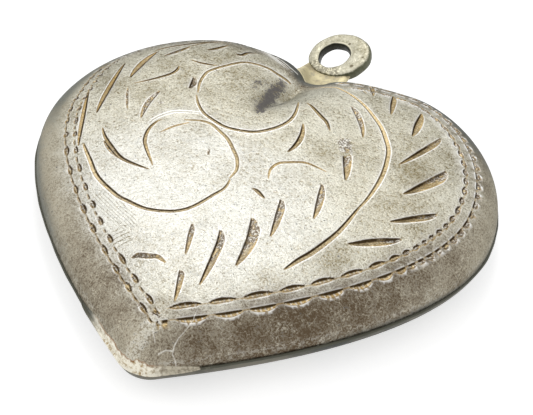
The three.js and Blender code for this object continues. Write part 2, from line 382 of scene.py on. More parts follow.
# Feathers: long cuts that follow the left lobe's shoulder, with thin tails.
cut([(-13.5, 3.1), (-12.3, 0.1), (-11.2, -2.9)], 0.26, fat=0.55, dark=1.6, pale=0.35)
cut([(-12.8, 7.4), (-12.2, 4.0), (-11.7, 0.7)], 0.3, fat=0.6, dark=2.6, pale=0.1)
cut([(-11.35, 9.8), (-11.45, 7.9), (-11.5, 5.5)], 0.38, dark=2.6, pale=0.1)
cut([(-11.7, 9.7), (-11.3, 10.6), (-10.3, 11.7), (-9.0, 13.0), (-7.9, 14.0)], 0.2)
cut([(-10.7, 9.3), (-10.1, 10.6), (-9.6, 11.6)], 0.31, rough=0.5)
cut([(-9.6, 11.6), (-9.0, 12.7), (-7.5, 13.8)], 0.16)
cut([(-8.3, 11.6), (-7.9, 12.2), (-7.3, 13.3)], 0.3, fat=0.3)
cut([(-6.3, 12.2), (-5.9, 12.3), (-5.7, 12.9), (-5.1, 13.4)], 0.28, fat=0.25, dark=1.4)
cut([(-11.0, 4.9), (-10.0, 6.1), (-9.3, 7.1), (-9.1, 7.7), (-9.1, 8.4)], 0.2, fat=0.85, dark=1.2)
cut([(-11.1, 4.3), (-9.9, 1.8)], 0.14, rough=1.0, dark=0.6)
cut([(-8.9, 4.9), (-8.9, 3.2), (-8.7, 1.4)], 0.32, rough=0.8, dark=1.2)
cut([(-3.2, 0.5), (-3.0, -0.2)], 0.12, rough=1.0)

# Border: two rope lines round the heart, each a chain of small cuts. On the right they are
# long ticked almonds with a dark upper edge of painted shade, and on the left short lozenges between
# dashes.
BORDER_INSETS = {1: (1.85, 2.6), -1: (1.95, 2.55)}
BORDER_ENDS = {1: (-15.0, -14.1), -1: (-15.7, -14.9)}
BORDER_LEFT_START = -5.4
LEFT_RUN_ON = 0.5
RIGHT_HEIGHTS = (-6.0, -4.3, -3.0, -1.6, 1.0, 4.0)
RIGHT_PITCHES = (2.2, 1.8, 1.3, 0.8, 0.8, 1.05)
SHORT_PITCH = 1.05
LONG_PITCH = 1.9
HAIR_WIDTH = 0.06
FAR_EDGE_WIDTH = 0.09
BORDER_FINENESS = 30
BORDER_SKIP = 160
DRIFT_X = -4
DRIFT_HEIGHTS = (3, 9)
DRIFT_SHARE = 0.42


def along_border(side, inset):
    """The rim's offset at an inset on one side, from just past the cleft's arc down to the
    point. Round the top of the left lobe it drifts out towards the rim."""
    closed = heart_outline(BORDER_FINENESS)
    drift = climb(closed[:, 1:], *DRIFT_HEIGHTS) * (closed[:, :1] < DRIFT_X)
    offset = closed + inset * (1 - DRIFT_SHARE * drift) * inward(closed)
    half = len(half_outline(1, BORDER_FINENESS))
    line = offset[:half] if side > 0 else np.vstack([offset[:1], offset[half:][::-1]])
    return line[BORDER_SKIP:]


def rope_cut(line, start, end, bow, width, side, **marks):
    """One cut on a border line, its dark edge bowed inwards by a share of its width."""
    path = walked(line, start, end)
    bulge = bow * width * np.sin(np.linspace(0, np.pi, len(path))) ** 0.8
    path = path + square_to(path) * (bulge * side)[:, None]
    cut(path, width, side=-side, **marks)


# Each cut takes one pitch of its line, and its pitch, width and ends waver as a hand does.
# Down is how far the cuts have grown long towards the point.
waver = np.random.default_rng(7)
for side in (1, -1):
    for row, inset in enumerate(BORDER_INSETS[side]):
        line = along_border(side, inset)
        line = line[line[:, 1] > BORDER_ENDS[side][row]]
        if side < 0:
            line = line[(line[:, 0] < BORDER_LEFT_START) | (line[:, 1] < 0)]
            end = line[-1] - line[-8]
            line = np.vstack([line, line[-1] + end * LEFT_RUN_ON / np.linalg.norm(end)])
        length = lengths_along(line)[-1]
        if side > 0 or row == 0:
            hair_dark = 0.4 if side > 0 else 1.2
            rope_cut(line, 0, length, 0, HAIR_WIDTH, side, blunt=0.15, tan=0.45, dark=hair_dark)
        place = 0.5 * row
        while place < length - 0.6:
            height = walked(line, place, place + 0.1)[0, 1]
            if side > 0:
                pitch = float(np.interp(height + 0.9 * (1 - row), RIGHT_HEIGHTS, RIGHT_PITCHES))
                down = climb(pitch, min(RIGHT_PITCHES), max(RIGHT_PITCHES))
            else:
                down = climb(height, 3.0, -3.0)
                pitch = SHORT_PITCH + (LONG_PITCH - SHORT_PITCH) * down
            pitch *= waver.uniform(0.9, 1.1)
            far = min(place + pitch, length)
            if side > 0:
                width = (0.29 + 0.05 * down) * waver.uniform(0.85, 1.15)
                bow = 0.65 if row == 1 else 0.0
                start = place + 0.06 * pitch
                stop = place + 0.9 * (far - place)
                worn_away = 1.0 if down < 0.2 else 0.0
                shine = 1 + 2 * climb(height, 5, 9)
                rope_cut(
                    line, start, stop, bow, width, side,
                    fat=0.45, ticks=down, rough=worn_away, dark=1.8, bright=shine,
                )
                far_start = start + 0.2 * pitch
                far_bow = (bow - 0.85) * width / FAR_EDGE_WIDTH
                if row == 1 or pitch < 1.2:
                    rope_cut(line, far_start, stop, far_bow, FAR_EDGE_WIDTH, side, fat=0.6, dark=1.5)
            else:
                width = (0.2 + 0.09 * down) * waver.uniform(0.8, 1.15)
                start = place + waver.uniform(0.36, 0.48) * pitch
                stop = place + waver.uniform(0.88, 0.98) * (far - place)
                worn_away = 1.0 if down < 0.5 else 0.6
                rope_cut(line, start, stop, 0.5, width, side, rough=worn_away, dark=2.0, tan=0.9)
                rope_cut(line, start + 0.2, stop, -0.45, 0.1, side, fat=0.6, dark=1.5)
                rope_cut(line, place + 0.1, start - 0.05, 0, 0.13, side, dark=1.3, tan=0.6)
            place += pitch

# Beside the cleft the two left rope lines run on as plain cuts, bright with the painted highlight of their
# burrs.
for run_on in (
    [(-5.6, 14.25), (-4.24, 13.91), (-3.23, 13.43), (-2.46, 13.14), (-1.9, 12.9)],
    [(-5.2, 14.5), (-4.1, 14.2), (-3.3, 13.78), (-2.5, 13.42), (-2.1, 13.3)],
):
    cut(run_on, 0.13, tan=0.3, dark=0.5, bright=2.6)

# The face's points: the wall's top, a loose even net, and rows along every cut.
NET = 0.3
MARK_SPACING = 0.035
CUT_CELL = 0.2
RIM_CELL = 0.1
CELL_START = -40
CELL_ROW = 4096
outline = heart_outline(7)
count = len(outline)
outer_rings = dome_rings(outline, front_height, FRONT_ROUNDNESS, 0.0, walls=14, faces=1)
wall_top = outer_rings[-1]
rows = np.arange(-TIP_DEPTH, LOBE_TOP[1], NET * math.sqrt(0.75))
net_x, net_y = np.meshgrid(np.arange(-HALF_WIDTH, HALF_WIDTH, NET), rows)
net_x = net_x + NET / 2 * (np.arange(len(rows)) % 2)[:, None]
net = np.column_stack([net_x.ravel(), net_y.ravel()])

# The rows lie on both sides of a cut's steep edge, down its slope and past its far edge.
marks = []
for c in cuts:
    w = c["width"][:, None]
    steps = [w * 0 - 0.14, w * 0 - 0.05, w * 0, w * 0 + 0.04, np.minimum(0.09, 0.5 * w), w * 0.4 + 0.05]
    offsets = np.hstack(steps + [w * 0.7, w - 0.04, w, w + 0.05, w + 0.14])
    marks.append((c["path"][:, None] + c["across"][:, None] * offsets[..., None]).reshape(-1, 2))
marks = np.vstack(marks)
marks = marks[np.unique(np.round(marks / MARK_SPACING).astype(int), axis=0, return_index=True)[1]]


def cells(points, size, shift=(0, 0)):
    """A whole number for each square cell of the plan that a point lies in."""
    cell = np.floor((points - CELL_START) / size).astype(int) + shift
    return cell[:, 0] * CELL_ROW + cell[:, 1]


def clear_of(points, others, size):
    """The points that lie neither in a cell with any of the others nor next to one."""
    shifts = [(i, j) for i in (-1, 0, 1) for j in (-1, 0, 1)]
    taken = np.concatenate([cells(others, size, shift) for shift in shifts])
    return points[~np.isin(cells(points, size), taken)]


inner = np.vstack([clear_of(net, marks, CUT_CELL), marks])


def inside(points, loop):
    """True for points inside a closed line, by how often a ray to the right crosses it."""
    ahead = np.roll(loop, -1, axis=0)
    hits = np.zeros(len(points), bool)
    for (ax, ay), (bx, by) in zip(loop, ahead):
        if ay != by:
            crosses = (points[:, 1] < ay) != (points[:, 1] < by)
            hits ^= crosses & (points[:, 0] < (bx - ax) * (points[:, 1] - ay) / (by - ay) + ax)
    return hits


TRIANGLES_INSIDE = 1
MERGE_GAP = 1e-5
inner = inner[inside(inner, wall_top[:, :2])]
inner = clear_of(inner, wall_top[:, :2], RIM_CELL)
plan = np.vstack([wall_top[:, :2], inner])
loop_edges = [(i, (i + 1) % count) for i in range(count)]
corners, _, triangles, sources, _, _ = delaunay_2d_cdt(
    [Vector(p) for p in plan.tolist()], loop_edges, [], TRIANGLES_INSIDE, MERGE_GAP, True
)
flat = np.array([tuple(p) for p in corners])
triangles = np.array(triangles)
triangles = triangles[inside(flat[triangles].mean(axis=1), wall_top[:, :2])]
rim_of = np.full(count, -1)
for index, source in enumerate(sources):
    for s in source:
        if s < count:
            rim_of[s] = index

# Marks of the cuts on each point: depth, tan oxide, painted shade on the steep edge, the raised
# burr with its painted highlight, torn metal, ticks, pale gold and how far along its cut the point lies.
# A cut drops steeply at its dark edge and rises evenly to its far one. It is 0.28 of its
# width deep, or up to 0.42 where it is wide, but never more than the deepest. Torn spots are
# where the graver was worried out of the metal, each with its middle and radius.
TORN_SPOTS = ((4.5, 5.6, 0.6), (4.85, 4.9, 0.55), (-8.3, 3.6, 0.3), (2.3, -1.6, 0.3))
CUT_REACH = 0.2
NARROWEST = 0.02
STEEP_WIDTH = 0.06
DEEPEST = 0.17
BURR_WIDTH = 0.05
BURR_HEIGHT = 0.012
depth, tan, dark, burr, torn, ticks, pale, way_along = np.zeros((8, len(flat)))
for c in cuts:
    path = c["path"]
    reach = c["width"].max() + CUT_REACH
    close = (flat > path.min(axis=0) - reach) & (flat < path.max(axis=0) + reach)
    close = np.flatnonzero(close.all(axis=1))
    for start in range(0, len(close), BLOCK):
        block = close[start : start + BLOCK]
        gap = flat[block, None] - path
        nearest = (gap**2).sum(axis=2).argmin(axis=1)
        apart = gap[np.arange(len(block)), nearest]
        off = (apart * c["across"][nearest]).sum(axis=1)
        past = np.sqrt(np.maximum((apart**2).sum(axis=1) - off**2, 0))
        w = np.maximum(c["width"][nearest], 1e-4)
        share = c["share"][nearest]
        steep = np.minimum(STEEP_WIDTH, 0.35 * w)
        body = (past < STEP) & (w > NARROWEST)
        slope = np.clip(np.minimum(off / steep, (w - off) / np.maximum(w - steep, 1e-4)), 0, 1)
        fresh = np.minimum((0.28 + 0.14 * climb(w, 0.25, 0.4)) * w, DEEPEST) * slope * body
        # Here is 1 inside the cut. Edge is the painted shade of its steep side, and a little of its far
        # one, and lip is the raised burr just outside both, painted bright as a highlight. By_edge is 1 at
        # either side.
        here = climb(off, -0.03, 0.01) * climb(w - off, -0.03, 0.01) * body
        edge = bell(off - 0.02, 0.025 + 0.08 * w) + 0.12 * bell(off, 0.35 * w)
        edge = 1.15 * edge + 0.35 * bell(w - off, 0.03) * (w < 0.4)
        edge = edge * np.minimum(w / 0.15, 1) * body
        lip = (bell(off + 0.07, BURR_WIDTH) + bell(off - w - 0.06, BURR_WIDTH)) * body
        by_edge = np.maximum(bell(w - off, 0.07), bell(off, 0.09))
        torn_end = c["rough"] - 0.4 * (off / w - 0.5) * (c["rough"] < 1)
        torn_here = climb(torn_end - share, -0.05, 0.05) * (c["rough"] > 0)
        lead = here > tan[block]
        first = lead | (tan[block] == 0)
        way_along[block] = np.where(first, share * c["length"], way_along[block])
        pale[block] = np.where(lead, c["pale"], pale[block])
        for mark, strength in (
            (depth, fresh),
            (tan, here * c["tan"] * (0.6 + 0.4 * by_edge)),
            (burr, np.minimum(lip, 1) * np.minimum(w / 0.25, 1) * c["bright"]),
            (torn, here * torn_here),
            (dark, np.minimum(edge * c["dark"] * (1 - 0.3 * torn_here), 1.3)),
            (ticks, here * c["ticks"]),
        ):
            mark[block] = np.maximum(mark[block], strength)
for x, y, radius in TORN_SPOTS:
    torn = np.maximum(torn, climb(radius - np.hypot(flat[:, 0] - x, flat[:, 1] - y), 0, 0.2))
inset = soft_inset(flat)
face_height = front_height(flat, inset) - depth + BURR_HEIGHT * burr * (depth < 0.02)
face_points = np.column_stack([flat, face_height])

inner_rings = dome_rings(outline, front_height, FRONT_ROUNDNESS, SHEET, walls=6, faces=8)
centre = np.array([0.0, WIDEST_Y])
centre_height = front_height(centre[None], soft_inset(centre[None]), SHEET)[0]
wall_points = outer_rings[:-1].reshape(-1, 3)
inner_points = inner_rings.reshape(-1, 3)
points = np.vstack([face_points, wall_points, inner_points, [[centre[0], centre[1], centre_height]]])
rows = [rim_of] + ring_rows(len(outer_rings) - 1, count, len(face_points))[::-1]
rows += ring_rows(len(inner_rings), count, len(face_points) + len(wall_points))
faces = triangles.tolist() + strips(rows) + fan(len(points) - 1, rows[-1])
face_shell = smooth_mesh("face_shell", in_frame(points), faces)

# Where the face meets its wall, where it is rubbed bright, partly a painted highlight, or left dull,
# where painted shade lies in the crease under the cleft, and the dark stain that runs down from the cleft.
# A grime spot has its middle, its radius and its strength.
GRIME_SPOTS = (
    (9.8, 5.4, 1.3, 0.8),
    (7.9, -5.6, 1.6, 1.0),
    (-9.4, -6.4, 1.6, 0.7),
    (10.8, -3.8, 1.5, 0.6),
    (5.5, -9.5, 1.3, 0.5),
    (-12.5, 4.5, 1.8, 0.5),
    (-3.0, 8.8, 2.4, 0.3),
    (-7.0, 11.5, 2.6, 0.4),
    (6.5, 12.0, 2.0, 0.3),
    (3.8, 3.9, 0.8, 0.7),
    (11.6, 0.6, 1.8, 0.45),
    (-11.6, -6.6, 2.2, 0.3),
    (-8.4, -10.6, 2.0, 0.5),
)


def spread(points, line):
    """Distance in the plan from each point to a smooth line through given points."""
    return np.sqrt(((points[:, None, :2] - through(line)) ** 2).sum(axis=2).min(axis=1))


plan_x, plan_y, heights = points.T
all_inset = np.zeros(len(points))
all_inset[: len(flat)] = inset
wall_rises = np.linspace(0, WALL_TOP_SHARE, len(outer_rings))[:-1]
wall_insets = np.repeat(swell_share(wall_rises, FRONT_ROUNDNESS) * SHOULDER_INSET, count)
all_inset[len(flat) : len(flat) + len(wall_points)] = wall_insets

# Flank is how dark the wall is, partly its tarnish and partly painted shade and dark reflection:
# more to the right, at the cleft and on the far side, and less by the point. Rim is a painted dark
# reflection, where the wall's foot turns grey. Grime is dull film in spots, and painted shade in the
# crease down from the cleft and beside it. Ridge is the pale crust of the wall's edge at the point,
# with a painted highlight along it, and of its foot, and polish is how much the middle of the face
# is rubbed bright, partly a painted highlight.
flank = 0.37 + 0.05 * np.minimum(plan_x, 8.5) - 0.022 * plan_y
flank -= 0.07 * np.maximum(plan_x - 11, 0)
flank -= 0.4 * bell(np.hypot(plan_x + 0.5, plan_y + 16.5), 1.8)
flank = np.clip(flank, 0, 1)
cleft_apart = np.hypot(plan_x - CLEFT_X, plan_y - CLEFT_HEIGHT - 0.8)
flank = np.maximum(flank, np.clip(1.1 - cleft_apart / 2.6, 0, 0.8))
flank = np.maximum(flank, np.minimum(climb(plan_y, 6, 16), 0.75))
# Painted shade in the crease under the cleft and beside the cleft; the spots after it are dull film.
grime = 0.9 * bell(spread(points, [(-0.9, 12.9), (-1.2, 11.4), (-1.55, 9.6)]), 0.35)
cleft_grime = 1.3 * bell(spread(points, [(-3.0, 14.6), (-2.1, 13.6), (-1.5, 12.7)]), 0.55)
grime = np.maximum(grime, cleft_grime)
for x, y, radius, strength in GRIME_SPOTS:
    grime = np.maximum(grime, strength * bell(np.hypot(plan_x - x, plan_y - y), radius))
# Pale crust with a painted highlight along the rounded ridge of the point, and pale crust along the wall's
# foot.
ridge = bell(spread(points, [(0.3, -14.6), (0.0, -15.6), (-0.4, -17.1)]), 0.45)
ridge = np.maximum(ridge, 0.3 * bell(all_inset - 0.05, 0.06))
# Rubbed brighter in the middle, low on the left, partly a painted highlight.
polish = bell(plan_x + 2.5, 9) * bell(plan_y + 5.0, 8)
far_left = climb(plan_x, -8, -11) * climb(plan_y, -3, 2)
# Painted dark reflection: the wall's foot on the left, the top and the right is painted grey, as metal at a
# glancing angle would mirror darker surroundings.
rim = np.minimum(climb(heights, 2.0, 0.4), 0.85) * climb(plan_x, -6, -11)
for low_wall, most, where in (
    (climb(all_inset, 1.9, 1.0), 0.85, climb(plan_y, 8, 12)),
    (climb(heights, 0.7, 0.1), 0.7, climb(plan_x, 8, 13)),
    (climb(all_inset, 1.7, 0.8), 0.8, far_left),
):
    rim = np.maximum(rim, np.minimum(low_wall, most) * where)

# The stain is how far a point lies inside a long blot, a thin stroke or a spot beside it.
STAIN_STROKE = 0.08
STAIN_SPOTS = ((-3.4, 8.9, 0.16), (-3.4, 9.5, 0.24), (-3.05, 10.1, 0.16), (-2.9, 7.4, 0.1))
stain_edge = through(
    [(-2.25, 5.85), (-1.75, 5.85), (-1.7, 7.2), (-1.75, 8.9), (-1.9, 9.5), (-1.85, 10.8),
     (-1.85, 11.4), (-2.25, 11.45), (-2.45, 10.6), (-2.6, 9.75), (-2.7, 8.8), (-2.6, 8.1),
     (-2.5, 7.15), (-2.25, 5.85)]
)
stain_gap = np.sqrt(((points[:, None, :2] - stain_edge) ** 2).sum(axis=2).min(axis=1))
stain = np.where(inside(points[:, :2], stain_edge), stain_gap, -stain_gap)
stain = np.maximum(stain, STAIN_STROKE - spread(points, [(-1.52, 7.6), (-1.2, 8.3), (-0.94, 8.8)]))
for x, y, radius in STAIN_SPOTS:
    stain = np.maximum(stain, radius - np.hypot(plan_x - x, plan_y - y))


def carry(made, **values):
    """Stores one number for each point of a mesh, for its material to read by name."""
    for name, numbers in values.items():
        full = np.zeros(len(made.data.vertices), np.float32)
        full[: len(numbers)] = numbers
        made.data.attributes.new(name, "FLOAT", "POINT").data.foreach_set("value", full)


carry(face_shell, tan=tan, dark=dark, burr=burr, torn=torn, pale=pale, ticks=ticks, along=way_along)
carry(face_shell, inset=all_inset, flank=flank, polish=polish, grime=grime, ridge=ridge, rim=rim)
carry(face_shell, stain=climb(stain, -0.3, 0.3))


def node(tree, kind, inputs=None, **settings):
    """Adds a shader node; an input is a value, or another node's socket to join to it."""
    made = tree.nodes.new(kind)
    for name, value in settings.items():
        setattr(made, name, value)
    for key, value in (inputs or {}).items():
        if isinstance(value, bpy.types.NodeSocket):
            tree.links.new(value, made.inputs[key])
        else:
            made.inputs[key].default_value = value
    return made


def number(tree, kind, *values, clamp=False):
    """One sum on sockets or plain numbers, such as MULTIPLY or ADD."""
    inputs = dict(enumerate(values))
    return node(tree, "ShaderNodeMath", inputs, operation=kind, use_clamp=clamp).outputs[0]


def ramp(tree, value, low, high):
    """Rises smoothly from 0 to 1 as the value goes from low to high."""
    inputs = {"Value": value, "From Min": low, "From Max": high}
    made = node(tree, "ShaderNodeMapRange", inputs, interpolation_type="SMOOTHSTEP")
    return made.outputs["Result"]


def blend(tree, share, a, b):
    """Colour a where the share is 0 and b where it is 1, by a Mix node's colour sockets."""
    made = node(tree, "ShaderNodeMix", data_type="RGBA")
    for index, value in ((0, share), (6, a), (7, b)):
        if isinstance(value, bpy.types.NodeSocket):
            tree.links.new(value, made.inputs[index])
        else:
            made.inputs[index].default_value = value
    return made.outputs[2]


def layer(tree, colour, share, strength, top):
    """A colour laid over another where the share says, as strongly as the strength."""
    return blend(tree, number(tree, "MULTIPLY", share, strength, clamp=True), colour, top)


NOISE_UNIT = 2 * MM


def noise(tree, size, detail=3.0, rough=0.6):
    """Cloudy pattern on Object coordinates whose grains are about size millimetres wide,
    which is half of the noise's own unit."""
    place = node(tree, "ShaderNodeTexCoord").outputs["Object"]
    inputs = {"Vector": place, "Scale": 1 / (NOISE_UNIT * size), "Detail": detail}
    inputs["Roughness"] = rough
    return node(tree, "ShaderNodeTexNoise", inputs).outputs[0]


def attribute(tree, name):
    """A number that the mesh carries under this name."""
    return node(tree, "ShaderNodeAttribute", attribute_name=name).outputs["Fac"]


METALLIC = 0.85


def metal(name, metallic=METALLIC, edge_tint=(1, 1, 1, 1)):
    """A material with a metal surface, and its node tree and shader. The edge tint is the
    colour of its mirror at a glancing angle."""
    material = bpy.data.materials.new(name)
    material.use_nodes = True
    tree = material.node_tree
    shader = tree.nodes["Principled BSDF"]
    shader.inputs["Metallic"].default_value = metallic
    shader.inputs["Specular Tint"].default_value = edge_tint
    return material, tree, shader


def surface(tree, shader, colour, roughness, height, strength, distance=0.1):
    """Gives a shader its colour, its roughness and bumps up to a distance in millimetres."""
    inputs = {"Height": height, "Strength": strength, "Distance": distance * MM}
    bump = node(tree, "ShaderNodeBump", inputs)
    joined = {"Base Color": colour, "Roughness": roughness, "Normal": bump.outputs[0]}
    for name, value in joined.items():
        tree.links.new(value, shader.inputs[name])


def scratches(tree, angle, length, gap, thin):
    """Thin worn lines: 1 where a noise stretched along the angle passes its middle value."""
    place = node(tree, "ShaderNodeTexCoord").outputs["Object"]
    inputs = {"Vector": place, "Rotation": (0, 0, math.radians(angle))}
    inputs["Scale"] = (length * NOISE_UNIT, gap * NOISE_UNIT, gap * NOISE_UNIT)
    turned = node(tree, "ShaderNodeMapping", inputs, vector_type="TEXTURE").outputs[0]
    inputs = {"Vector": turned, "Scale": 1.0, "Detail": 3.0, "Roughness": 0.55}
    waves = node(tree, "ShaderNodeTexNoise", inputs).outputs[0]
    off = number(tree, "ABSOLUTE", number(tree, "SUBTRACT", waves, 0.5))
    return number(tree, "SUBTRACT", 1.0, ramp(tree, off, 0.0, thin))


def place_on(tree, centre, angle):
    """Object coordinates in metres about a spot of the plan, turned so that X runs along."""
    place = node(tree, "ShaderNodeTexCoord").outputs["Object"]
    spot = tuple(in_frame([centre[0], centre[1], 0.0]))
    inputs = {"Vector": place, "Location": (spot[0], spot[1], 0)}
    inputs["Rotation"] = (0, 0, math.radians(angle))
    turned = node(tree, "ShaderNodeMapping", inputs, vector_type="TEXTURE").outputs[0]
    axes = node(tree, "ShaderNodeSeparateXYZ", {"Vector": turned})
    return axes.outputs[0], axes.outputs[1]


def squares(tree, x, y):
    """The sum of two squares."""
    return number(tree, "ADD", number(tree, "MULTIPLY", x, x), number(tree, "MULTIPLY", y, y))


def hatch(tree, centre, angle, length, breadth, gap):
    """A patch of fine parallel scratches: peaks of a sine across it, gone at its edges."""
    along, across = place_on(tree, centre, angle)
    wander = number(tree, "MULTIPLY", noise(tree, 1.5, 2.0), 14.0)
    turns = number(tree, "MULTIPLY_ADD", across, 2 * math.pi / (gap * MM), wander)
    waves = number(tree, "SINE", turns)
    x = number(tree, "DIVIDE", along, length * MM / 2)
    y = number(tree, "DIVIDE", across, breadth * MM / 2)
    inside_patch = number(tree, "SUBTRACT", 1.0, ramp(tree, squares(tree, x, y), 0.5, 1.0))
    return number(tree, "MULTIPLY", ramp(tree, waves, 0.6, 1.0), inside_patch)


def nick(tree, start, end, width):
    """One straight line between two spots of the plan: 1 on its middle line."""
    middle = ((start[0] + end[0]) / 2, (start[1] + end[1]) / 2)
    angle = math.degrees(math.atan2(end[1] - start[1], end[0] - start[0]))
    along, across = place_on(tree, middle, angle)
    past = number(tree, "SUBTRACT", number(tree, "ABSOLUTE", along), math.dist(start, end) * MM / 2)
    gap = number(tree, "MAXIMUM", number(tree, "ABSOLUTE", across), past)
    return number(tree, "SUBTRACT", 1.0, ramp(tree, gap, 0.0, width * MM))


def mixed(tree, middle, *parts):
    """A middle value plus each noise's swing about its own middle, times its weight."""
    total = middle
    for value, weight in parts:
        swing = number(tree, "MULTIPLY", number(tree, "SUBTRACT", value, 0.5), weight)
        total = number(tree, "ADD", total, swing)
    return total


def drawn(tree, lines, width, middle, specks):
    """How far a spot lies on any of some bent lines, broken up by specks: real scratches, and painted
    shadows and highlights.
    """
    share = 0.0
    for line in lines:
        for start, end in zip(line, line[1:]):
            share = number(tree, "MAXIMUM", share, nick(tree, start, end, width))
    return number(tree, "MULTIPLY", share, mixed(tree, middle, (specks, 2.0)), clamp=True)


FACE_BRIGHT = (0.81, 0.80, 0.735, 1)
FACE_FILM = (0.775, 0.75, 0.635, 1)
FACE_DULL = (0.235, 0.195, 0.11, 1)
WALL_TARNISH = (0.108, 0.076, 0.045, 1)
WALL_BRIGHT = (0.66, 0.63, 0.53, 1)
WALL_PALE = (0.52, 0.475, 0.37, 1)
CUT_TAN = (0.44, 0.285, 0.09, 1)
CUT_PALE = (0.86, 0.67, 0.36, 1)
CUT_DARK = (0.05, 0.032, 0.014, 1)
TORN_GREY = (0.17, 0.135, 0.105, 1)
STAIN_GREY = (0.115, 0.105, 0.105, 1)
SCRATCH_BRIGHT = (0.90, 0.88, 0.82, 1)
BURR_BRIGHT = (1.0, 0.99, 0.95, 1)
# Painted dark reflection: a grey-blue edge tint that dims the metal's mirror at glancing angles, where
# darker surroundings would show.
EDGE_TINT = (0.3, 0.33, 0.34, 1)
RIM_GREY = (0.15, 0.16, 0.15, 1)
WALL_SCRATCHES = (
    [(2.05, -13.2), (2.1, -13.95), (2.0, -14.6), (1.8, -15.2), (1.74, -15.65), (1.8, -15.95),
     (2.1, -16.0)],
    [(1.75, -15.85), (1.4, -16.05), (1.1, -16.4)],
    [(0.25, -15.2), (0.3, -15.6), (0.7, -16.1)],
)
CLEFT_GLINTS = (
    [(-4.64, 14.3), (-3.6, 14.0), (-2.43, 13.53), (-1.8, 13.4)],
    [(-5.08, 14.45), (-4.23, 13.92), (-3.42, 13.51), (-2.77, 13.06)],
)
CLEFT_SHADOWS = ([(-4.35, 14.24), (-3.36, 13.78), (-2.34, 13.25), (-1.7, 13.05)],)
HATCHES = (((-6.1, -7.7), -31, 5.0, 1.9, 0.2), ((-4.7, -9.9), 58, 1.6, 1.8, 0.3))
TICK_PITCH = 0.33
face_material, tree, shader = metal("face_silver_worn", edge_tint=EDGE_TINT)
cloud = noise(tree, 4.0, 4.0)
grain = noise(tree, 0.06, 2.0, 0.7)
speck = noise(tree, 0.16, 3.0, 0.7)
blotch = noise(tree, 0.9, 4.0, 0.6)
curls = scratches(tree, 0, 0.5, 0.5, 0.016)
worn = scratches(tree, -32, 5.0, 0.22, 0.012)
crossed = scratches(tree, 48, 3.0, 0.3, 0.01)
patchy = ramp(tree, noise(tree, 2.2, 3.0), 0.42, 0.62)
lines = number(tree, "MULTIPLY", number(tree, "MAXIMUM", worn, crossed), patchy)
lines = number(tree, "MAXIMUM", lines, number(tree, "MULTIPLY", curls, 0.8))
hatched = number(tree, "MAXIMUM", *[hatch(tree, *values) for values in HATCHES])

# The face's own tone, from dull to rubbed bright, partly a painted highlight, with painted shade in the
# crease under the cleft.
tone = mixed(tree, 0.54, (cloud, 1.0), (blotch, 0.8), (grain, 2.4), (speck, 1.2))
tone = number(tree, "MULTIPLY_ADD", attribute(tree, "grime"), -0.42, tone)
tone = number(tree, "MULTIPLY_ADD", attribute(tree, "polish"), 0.38, tone)
tone = number(tree, "MULTIPLY_ADD", lines, 0.22, tone)
tone = number(tree, "SUBTRACT", tone, number(tree, "MULTIPLY", hatched, 0.6))
rubbed = blend(tree, ramp(tree, attribute(tree, "polish"), 0.08, 0.6), FACE_FILM, FACE_BRIGHT)
colour = blend(tree, number(tree, "MAXIMUM", tone, 0.0, clamp=True), FACE_DULL, rubbed)

# The wall's tarnish, partly painted shade and dark reflection, with bright hairs, dark pepper and
# the pale crust of its ridge, with a painted highlight along the point.
flank = attribute(tree, "flank")
wall_edge = mixed(tree, attribute(tree, "inset"), (cloud, 1.2), (blotch, 1.6), (grain, 1.0))
wall_edge = number(tree, "MULTIPLY_ADD", flank, -1.2, wall_edge)
on_wall = number(tree, "SUBTRACT", 1.0, ramp(tree, wall_edge, 0.4, 2.5))
wall_tone = number(tree, "MULTIPLY", flank, 0.96)
wall_tone = number(tree, "MULTIPLY_ADD", attribute(tree, "grime"), 0.45, wall_tone)
wall_tone = mixed(tree, wall_tone, (cloud, -0.9), (blotch, -0.8), (speck, -0.6), (grain, -1.7))
wall_tone = number(tree, "MULTIPLY_ADD", curls, -0.45, wall_tone)
wall_tone = number(tree, "MULTIPLY_ADD", attribute(tree, "ridge"), -0.22, wall_tone)
wall_colour = blend(tree, number(tree, "MAXIMUM", wall_tone, 0.0, clamp=True), WALL_PALE, WALL_TARNISH)
hairs = scratches(tree, 0, 0.3, 0.3, 0.02)
hair_share = number(tree, "MULTIPLY", hairs, ramp(tree, blotch, 0.45, 0.7))
wall_colour = layer(tree, wall_colour, hair_share, 0.75, WALL_BRIGHT)
pepper = ramp(tree, mixed(tree, 0.5, (grain, -3.0), (speck, -0.6)), 0.42, 0.9)
wall_colour = layer(tree, wall_colour, pepper, 0.26, WALL_TARNISH)
# Bright specks of crust, with a painted highlight, on the point's ridge.
curled = ramp(tree, mixed(tree, 0.5, (grain, 2.0), (speck, 2.4)), 0.42, 0.6)
crusted = ramp(tree, mixed(tree, attribute(tree, "ridge"), (speck, 0.8)), 0.1, 0.6)
curled = number(tree, "MULTIPLY", curled, crusted)
wall_colour = layer(tree, wall_colour, curled, 0.4, FACE_BRIGHT)
colour = blend(tree, on_wall, colour, wall_colour)
# Painted dark reflection along the wall's foot.
rim_share = mixed(tree, attribute(tree, "rim"), (cloud, 0.6), (blotch, 0.8), (grain, 1.2))
rim_share = ramp(tree, rim_share, 0.1, 1.0)
colour = layer(tree, colour, rim_share, 0.75, RIM_GREY)

# The stain, and the cuts: painted highlight on the burr, tan oxide, torn metal, ticks and painted shade on
# the steep edge.
ragged = mixed(tree, attribute(tree, "stain"), (speck, 1.8), (grain, 2.4))
stained = number(tree, "MULTIPLY", ramp(tree, ragged, 0.36, 0.7), 0.9)
colour = blend(tree, stained, colour, STAIN_GREY)
